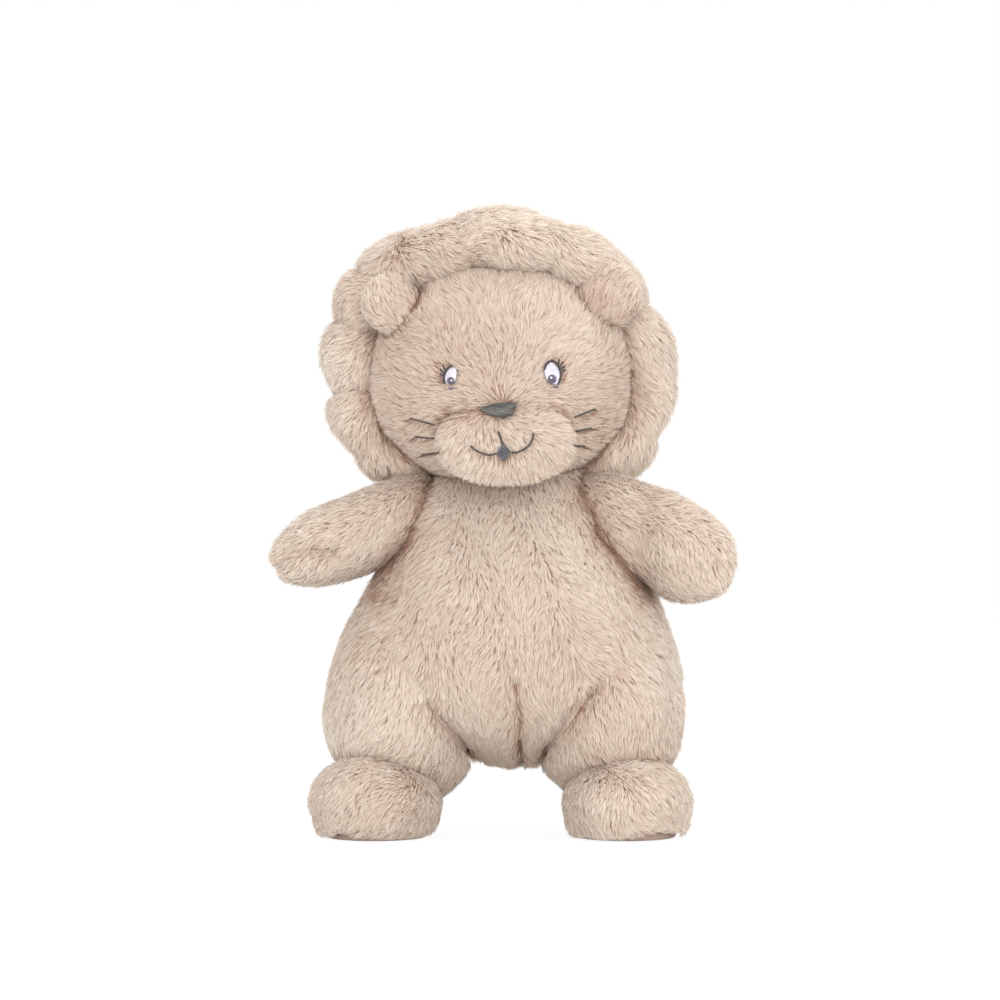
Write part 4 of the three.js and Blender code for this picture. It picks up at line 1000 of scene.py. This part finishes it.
def clear_of_neck(points):
    """True where pile grows: everywhere but in the eyelet's hole at the back."""
    return ~((off_neck(points) < EYELET["clear"]) & (points[:, 1] > BACK_FROM))


# Operators

class PieceOperator(bpy.types.Operator):
    """Shared layout of the operators that make a piece."""
    bl_options = {"REGISTER", "UNDO"}

    def execute(self, context):
        self.make(context.scene)
        return {"FINISHED"}


class LION_OT_torso(PieceOperator):
    """Make the torso's cloth and pile"""
    bl_idname = "lion.torso"
    bl_label = "Torso"

    def make(self, scene):
        depth = scene.lion_pile.depth / MM
        seam = groove(CENTRE_SEAM, 1.8, 2.8)
        flush, collar = 0.6, 3.4  # cloth under its face at the eyelet, and its swelling at the neck
        grid = stuffed("torso", TORSO, depth, (144, 120),
                       lumps(0.9, 48, 11, seam, thigh_lines, lambda p: (depth - flush) * round_eyelet(p),
                             lambda p: collar * smooth(138, 149, p[:, 2])))
        pile("torso", grid, down_and_out, [HEAD, *LEGS.values(), *ARMS.values(), MANE], "plush_body", 101,
             pressing=[*ARMS.values(), MANE], keep=clear_of_neck,
             # Painted shade in the centre seam, along the thigh lines and under the arms
             shade=lambda p: seam(p) * 0.15 + thigh_lines(p) * 0.2 + 0.42 * shadow_under_arms(p),
             trim=lambda p: 1 - 0.55 * round_eyelet(p))


class LION_OT_head(PieceOperator):
    """Make the head's and the muzzle's cloth and pile"""
    bl_idname = "lion.head"
    bl_label = "Head and muzzle"

    def make(self, scene):
        sizes = scene.lion_pile
        depth, long = sizes.face_depth / MM, sizes.face_pile / MM
        face = {"length": long, "width": 0.4, "density": 5.2, "depth": depth, "lift": 30,
                "keep": lambda p: ~under_thread(p), "stop": stop_at_thread}

        def cheeks(points):
            """The face is darker from its middle outwards, a painted shade on its sides."""
            return -0.08 - 0.22 * smooth(18, 46, np.abs(points[:, 0] - HEAD_MIDDLE[0]))

        def cheeks_and_muzzle_crease_shade(points):
            """The same, and a painted crease shade where the muzzle is sewn on, but for the part under the
            nose.
            """
            return cheeks(points) - 0.3 * MUZZLE.holds(points, 1.5) * smooth(9, 22, np.abs(points[:, 0]))
        grid = stuffed("head", HEAD, depth, (128, 110), lumps(0.7, 40, 21))
        pile("head", grid, from_nose, [TORSO, MANE, MUZZLE, *EARS.values()], "plush_body", 201,
             pressing=[TORSO, MANE, *EARS.values()], shade=cheeks_and_muzzle_crease_shade, **face)
        grid = stuffed("muzzle", MUZZLE, depth, (80, 60))
        pile("muzzle", grid, from_nose, [TORSO, HEAD], "plush_body", 211, shade=cheeks, **face)


class LION_OT_mane(PieceOperator):
    """Make the mane's cloth and pile"""
    bl_idname = "lion.mane"
    bl_label = "Mane"

    def make(self, scene):
        sizes = scene.lion_pile
        grid = stuffed("mane", MANE, sizes.depth / MM, (72, 300), lumps(1.0, 30, 31))
        pile("mane", grid, off_the_roll, [TORSO, HEAD], "plush_mane", 301, length=sizes.mane_pile / MM,
             swirl=0.45)


class LION_OT_ears(PieceOperator):
    """Make the ears' cloth and pile"""
    bl_idname = "lion.ears"
    bl_label = "Ears"

    def make(self, scene):
        depth = 3.0
        for side, sign in SIDES:
            name, form = f"ear_{side}", EARS[side]
            grid = stuffed(name, form, depth, (48, 40), lumps(0.5, 20, 41))
            pile(name, grid, along(form.line[1] - form.line[0]), [HEAD, MANE], "plush_mane", 401 + sign,
                 length=4.8, depth=depth, width=0.38, density=6, tone=-0.1, pressing=[])


class LION_OT_arms(PieceOperator):
    """Make the arms' cloth and pile"""
    bl_idname = "lion.arms"
    bl_label = "Arms"

    def make(self, scene):
        depth = scene.lion_pile.depth / MM
        for side, sign in SIDES:
            name, form, swell, fold = f"arm_{side}", ARMS[side], PAW_SWELL[side], groove(*ARM_FOLDS[side])
            grid = stuffed(name, form, depth, (88, 80),
                           lumps(0.8, 34, 51 + sign, fold,
                                 lambda p: swell * smooth(50, 66, p[:, 0]) * smooth(112, 96, p[:, 2])))
            hanging = unit(form.line[-1] - form.line[0]) + np.array([0, 0, ARM_DROP[side]])
            pile(name, grid, along(hanging), [TORSO, HEAD, MANE], "plush_body", 501 + sign,
                 # painted shade in the fold
                 shade=lambda p: 0.07 * fold(p))


class LION_OT_legs(PieceOperator):
    """Make the legs' cloth and pile"""
    bl_idname = "lion.legs"
    bl_label = "Legs"

    def make(self, scene):
        depth = scene.lion_pile.depth / MM
        for side, sign in SIDES:
            name = f"leg_{side}"
            grid = stuffed(name, LEGS[side], depth, (104, 90),
                           lumps(0.9, 40, 61 + sign, thigh_lines))
            pile(name, grid, along((0.35 * sign, 0, -1)), [TORSO, FEET[side]], "plush_body", 601 + sign,
                 # painted shade along the thigh lines
                 pressing=[FEET[side]], shade=lambda p: thigh_lines(p) * 0.2)


class LION_OT_feet(PieceOperator):
    """Make the feet's cloth and pile, and the soles"""
    bl_idname = "lion.feet"
    bl_label = "Feet and soles"

    def make(self, scene):
        depth = scene.lion_pile.depth / MM
        for side, sign in SIDES:
            name, form = f"foot_{side}", FEET[side]
            spreading = 2.1  # just over the sole, on which the cloth then lies flat
            grid = cloth_grid(form.surface, -depth, 88, 80,
                              lumps(0.7, 34, 71 + sign, lambda p: spreading * smooth(12, 4, p[:, 2])))
            points = grid[0].copy()
            points[..., 2] = np.maximum(points[..., 2], SOLE_TOP + SEAM)
            grid = points, grid_normals(points)
            cloth_piece(name, grid)
            middle = form.line[1]

            def outward(points, middle=middle, sign=sign):
                flow = (points - middle) * 0.7
                flow[:, 0] += 12 * sign
                flow[:, 1:] = -8, -16
                return flow
            # The feet are a little darker than the body, the left one more than the right: painted shade
            pile(name, grid, outward, [LEGS[side], TORSO], "plush_body", 701 + sign, lift=22,
                 tone=-0.06 + 0.02 * sign, keep=lambda p: p[:, 2] > SOLE_TOP + 2 * SEAM)
            self.sole(side, middle)

    def sole(self, side, middle):
        """A sewn oval, half widths times cosine and sine of the turn: a flat bottom on the floor, a rolled
        edge notched by its stitches, and a top that meets the foot."""
        around, levels, stitches, wide, long, top = 96, 17, 40, 20.6, 35, SOLE_TOP - SEAM
        turn = np.arange(around) * 2 * np.pi / around
        rows = np.linspace(0, 1, levels)
        rim = np.sin(np.pi * rows)
        level = (1 - np.cos(np.pi * rows)) / 2 * top
        out = 1 - 0.05 * (1 - rim ** 0.5)
        notch = 1 + 0.012 * np.sin(stitches * turn)[None, :] * (rim ** 4)[:, None]
        rings = np.stack([middle[0] + wide * out[:, None] * notch * np.cos(turn),
                          middle[1] + long * out[:, None] * notch * np.sin(turn),
                          np.broadcast_to(level[:, None], (levels, around))], -1)
        low, high = np.array([middle[0], middle[1], 0.0]), np.array([middle[0], middle[1], top])
        name = f"sole_{side}_cloth"
        made = add_piece(name, closed_mesh(name, rings, low, high), sole_cloth(),
                         [f"sole_{side}"])


class LION_OT_tail(PieceOperator):
    """Make the tail's and its tuft's cloth and pile"""
    bl_idname = "lion.tail"
    bl_label = "Tail"

    def make(self, scene):
        pieces = (("tail", TAIL, "plush_body", 2.6, 6.0), ("tail_tuft", TUFT, "plush_mane", 4.0, 10.0))
        for name, form, slot, depth, long in pieces:
            grid = stuffed(name, form, depth, (36, 60))
            pile(name, grid, along(form.line[-1] - form.line[0]), [TORSO, LEGS["right"]], slot, 801,
                 length=long, depth=depth, lift=24)


class LION_OT_eyes(PieceOperator):
    """Make the embroidered eyes"""
    bl_idname = "lion.eyes"
    bl_label = "Eyes"

    def make(self, scene):
        colours = scene.lion_thread
        white = thread("polyester_thread_white_satin", colours.white, 0.5, uneven=0.25)
        iris = thread("polyester_thread_iris_satin", colours.iris)
        dark = thread("polyester_thread_dark_twisted", colours.dark)
        for side, _ in SIDES:
            steps = 64
            outline = closed_curve(EYE_WHITES[side], steps)
            top = int(outline[:, 1].argmax())
            low = int(outline[:, 1].argmin())
            ring = np.concatenate([outline, outline])
            down = ring[top:(low if low > top else low + steps) + 1]
            up = ring[low:(top if top > low else top + steps) + 1][::-1]
            satin(f"eye_{side}_white", down, up, white, "thread_white", 0.25, 0.35, [f"eye_{side}"])
            x, z, radius = IRISES[side]
            half = np.linspace(0, np.pi, 12)
            for part, size, proud, tint, slot in (("iris", radius, 0.6, iris, "thread_dark"),
                                                  ("pupil", radius * 0.54, 0.8, dark, "thread_dark"),
                                                  ("glint", radius * 0.32, 1.0, white, "thread_white")):
                shift = (0, 0) if part == "iris" else GLINTS[side]
                bow = [[x + shift[0] + size * math.sin(a), z + shift[1] + size * math.cos(a)] for a in half]
                back = [[2 * (x + shift[0]) - a, b] for a, b in bow]
                satin(f"eye_{side}_{part}", bow, back, tint, slot, proud, 0.2)
            stitch_line(f"eye_{side}_lid", LIDS[side], dark, 1.15, 0.55)
            stitch_line(f"eye_{side}_under", UNDER_EYES[side], iris, 0.7, 0.2)
            for number, path in enumerate(LASHES[side]):
                stitch_line(f"lash_{side}_{number + 1}", path, dark, 0.8, 0.5)


class LION_OT_mouth(PieceOperator):
    """Make the embroidered nose, mouth and whiskers"""
    bl_idname = "lion.mouth"
    bl_label = "Nose, mouth and whiskers"

    def make(self, scene):
        colours = scene.lion_thread
        grey = thread("polyester_thread_grey_satin", colours.grey, 0.42, (0.12, 1.0, 1.0), 1.4)
        slate = thread("polyester_thread_slate_satin", colours.slate)
        dark = thread("polyester_thread_dark_twisted", colours.dark)
        satin("nose_satin", NOSE_LEFT, NOSE_RIGHT, grey, "thread_dark", 0.3, 0.5, ["nose"], 0.45)
        satin("mouth_diamond", *DIAMOND, slate, "thread_dark", 0.4, 0.4, ["mouth"])
        for name, path in MOUTH.items():
            stitch_line(name, path, dark, LINE_WIDTH, 0.35)
        for side, _ in SIDES:
            for number, path in enumerate(WHISKERS[side]):
                name = f"whisker_{side}_{number + 1}"
                stitch_line(f"{name}_stitch", path, dark, LINE_WIDTH, 0.35, [name])


class LION_OT_eyelet(PieceOperator):
    """Make the whipped eyelet round the winding neck"""
    bl_idname = "lion.eyelet"
    bl_label = "Eyelet"

    def make(self, scene):
        """A ring of whip stitches: a round section carried round the neck, swelling once for each stitch,
        each stitch laid at a slant."""
        low, high = (np.array(corner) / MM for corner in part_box("key_eyelet"))
        middle, thick = (low + high) / 2, (high[1] - low[1]) / 2
        radius = (high[0] - low[0]) / 2 - thick
        stitches, around, steps_a_stitch = 42, 16, 8
        steps = stitches * steps_a_stitch
        turn = np.linspace(0, 2 * np.pi, steps, endpoint=False)[:, None]
        angle = np.linspace(0, 2 * np.pi, around, endpoint=False)[None]
        swell = 0.84 + 0.2 * np.abs(np.sin(stitches * turn / 2 + 0.5 * angle)) ** 0.6
        out = radius + thick * swell * np.cos(angle)
        back = thick * swell * np.sin(angle)
        points = np.stack([middle[0] + out * np.cos(turn), middle[1] + back,
                           middle[2] + out * np.sin(turn)], -1)
        k, j = np.arange(steps)[:, None], np.arange(around)[None]
        after, beside = (k + 1) % steps, (j + 1) % around
        faces = np.stack([k * around + j, k * around + beside, after * around + beside,
                          after * around + j], -1)
        mesh = bpy.data.meshes.new("key_eyelet_stitches")
        mesh.from_pydata(points.reshape(-1, 3) * MM, [], faces.reshape(-1, 4).tolist())
        mesh.polygons.foreach_set("use_smooth", np.ones(len(mesh.polygons), bool))
        beige = thread("polyester_thread_beige_whipped", scene.lion_thread.eyelet)
        add_piece("key_eyelet_stitches", mesh, beige, ["key_eyelet"])


class LION_OT_movement(PieceOperator):
    """Give the winding key and the musical movement their finishes"""
    bl_idname = "lion.movement"
    bl_label = "Key and movement"

    def make(self, scene):
        # Cream ABS with a dull even grain
        case = moulded("abs_moulded_spark_eroded", "#e9e6df", 0.5, 0.0004)
        # Off-white nylon, smoother and a little shinier
        nylon = moulded("nylon_moulded_smooth", "#f2f0e8", 0.42, 0.0003)
        # Warm bright plating, which shows the stamping's faint lines
        nickel = metal("steel_stamped_nickel_plated", "#d9d7d2", 0.2, (1.0, 6.0, 1.0), 0.0012)
        # Grey and mottled, with a broad dull shine
        zinc = metal("zinc_die_cast_tumbled", "#a7a9ab", 0.5, (1.0, 1.0, 1.0), 0.0006)
        # Cool and bright, with grinding lines along X
        spring = metal("spring_steel_ground", "#c3c6c9", 0.28, (1.0, 8.0, 8.0), 0.0009)
        # Yellow and bright, with turning lines round X
        brass = metal("brass_turned", "#c9a45a", 0.26, (8.0, 1.0, 1.0), 0.0008)
        finishes = {case: ["case_back", "case_front"], nickel: ["winding_key"],
                    nylon: ["cylinder_gear", "governor_wheel", "governor_worm"],
                    zinc: ["bedplate", "spring_cup", "bearing_left", "bearing_right", "comb_riser"],
                    spring: ["mainspring", "comb", "comb_screw_1", "comb_screw_2", "winding_arbor",
                             "cylinder_shaft", "governor_shaft"],
                    brass: ["great_wheel", "cylinder", "cylinder_pinion", "governor_pinion"]}
        for made, names in finishes.items():
            for name in names:
                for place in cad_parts[name].material_slots:
                    place.material = made


# Name, place and diameter in metres, and power in watts
LAMPS = (("front_lamp", (0.2, -2.3, 0.65), 2.0, 31.0), ("top_lamp", (0.3, 0.2, 2.0), 1.6, 12.5))
LAMPS_AIM = (0, 0, 0.13)
SOFT_LIGHT = 1.08
FLOOR = {"half": 4.0, "below": 0.0002, "glow": 1.06, "share": 0.86}


class LION_OT_stage(PieceOperator):
    """Make the camera, the lamps, the background and the floor"""
    bl_idname = "lion.stage"
    bl_label = "Stage"

    def make(self, scene):
        stage = scene.lion_stage
        scene.view_settings.view_transform = "Standard"
        camera = bpy.data.objects.new("camera", bpy.data.cameras.new("camera"))
        camera.location = (stage.middle_x, -stage.distance, stage.middle_z)
        camera.rotation_euler = (math.pi / 2, 0, 0)
        camera.data.sensor_width = 36
        camera.data.lens = camera.data.sensor_width * stage.distance / stage.width
        camera.data.clip_start, camera.data.clip_end = 0.05, 50
        scene.collection.objects.link(camera)
        scene.camera = camera
        for name, place, size, power in LAMPS:
            lamp = bpy.data.lights.new(name, "AREA")
            lamp.shape, lamp.size, lamp.energy = "DISK", size, power
            made = bpy.data.objects.new(name, lamp)
            made.location = place
            aim = np.array(LAMPS_AIM) - np.array(place)
            made.rotation_euler = (math.acos(-aim[2] / np.linalg.norm(aim)), 0,
                                   math.atan2(aim[1], aim[0]) - math.pi / 2)
            scene.collection.objects.link(made)
        self.background(scene)
        self.floor(scene, stage)

    def background(self, scene):
        """White where the camera or a mirror sees it, and a plain soft light for everything else."""
        world = bpy.data.worlds.new("studio")
        world.use_nodes = True
        scene.world = world
        tree = world.node_tree
        tree.nodes.clear()
        seen = seen_directly(tree)
        soft = node(tree, "ShaderNodeBackground", Strength=SOFT_LIGHT)
        soft.inputs["Color"].default_value = (1, 1, 1, 1)
        white = node(tree, "ShaderNodeBackground", Strength=1.0)
        white.inputs["Color"].default_value = (1, 1, 1, 1)
        mix = node(tree, "ShaderNodeMixShader", [(0, seen), (1, soft.outputs[0]), (2, white.outputs[0])])
        node(tree, "ShaderNodeOutputWorld", [("Surface", mix.outputs[0])])

    def floor(self, scene, stage):
        """A wide sheet of matt paper, nearly white to the camera, that keeps a faint shadow."""
        mesh = bpy.data.meshes.new("floor")
        half = FLOOR["half"]
        corners = [(-half, -half, 0), (half, -half, 0), (half, half, 0), (-half, half, 0)]
        mesh.from_pydata(corners, [], [(0, 1, 2, 3)])
        made = bpy.data.objects.new("floor", mesh)
        made.location.z = -FLOOR["below"]
        scene.collection.objects.link(made)

        def build(tree, shader):
            share = node(tree, "ShaderNodeMath", [(0, seen_directly(tree))], operation="MULTIPLY")
            share.inputs[1].default_value = FLOOR["share"]
            glow = node(tree, "ShaderNodeEmission", Strength=FLOOR["glow"])
            mix = node(tree, "ShaderNodeMixShader",
                       [(0, share.outputs[0]), (1, shader.outputs[0]), (2, glow.outputs[0])])
            tree.links.new(mix.outputs[0], output_of(tree).inputs["Surface"])
            set_shader(shader, Base_Color=rgba(stage.floor), Roughness=0.95, Specular_IOR_Level=0.1)
        mesh.materials.append(finish("paper_matt_white", build))


OPERATORS = (LION_OT_torso, LION_OT_head, LION_OT_mane, LION_OT_ears, LION_OT_arms, LION_OT_legs,
             LION_OT_feet, LION_OT_tail, LION_OT_eyes, LION_OT_mouth, LION_OT_eyelet, LION_OT_movement,
             LION_OT_stage)


class LION_PT_panel(bpy.types.Panel):
    """Lists the pieces of the lion and their settings"""
    bl_idname = "LION_PT_panel"
    bl_label = "Plush lion"
    bl_space_type = "VIEW_3D"
    bl_region_type = "UI"
    bl_category = "Plush lion"

    def draw(self, context):
        for group in (context.scene.lion_pile, context.scene.lion_thread, context.scene.lion_stage):
            box = self.layout.box()
            for name in group.__annotations__:
                box.prop(group, name)
        for operator in OPERATORS:
            self.layout.operator(operator.bl_idname)


GROUPS = {"lion_pile": PileSettings, "lion_thread": ThreadSettings, "lion_stage": StageSettings}


def register():
    for group in (*GROUPS.values(), *OPERATORS, LION_PT_panel):
        bpy.utils.register_class(group)
    for name, group in GROUPS.items():
        setattr(bpy.types.Scene, name, PointerProperty(type=group))


def unregister():
    for name in GROUPS:
        delattr(bpy.types.Scene, name)
    for group in (LION_PT_panel, *OPERATORS, *GROUPS.values()):
        bpy.utils.unregister_class(group)


def main():
    """Registers the add-on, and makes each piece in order."""
    register()
    for operator in OPERATORS:
        family, name = operator.bl_idname.split(".")
        getattr(getattr(bpy.ops, family), name)()


if __name__ == "__main__":
    main()
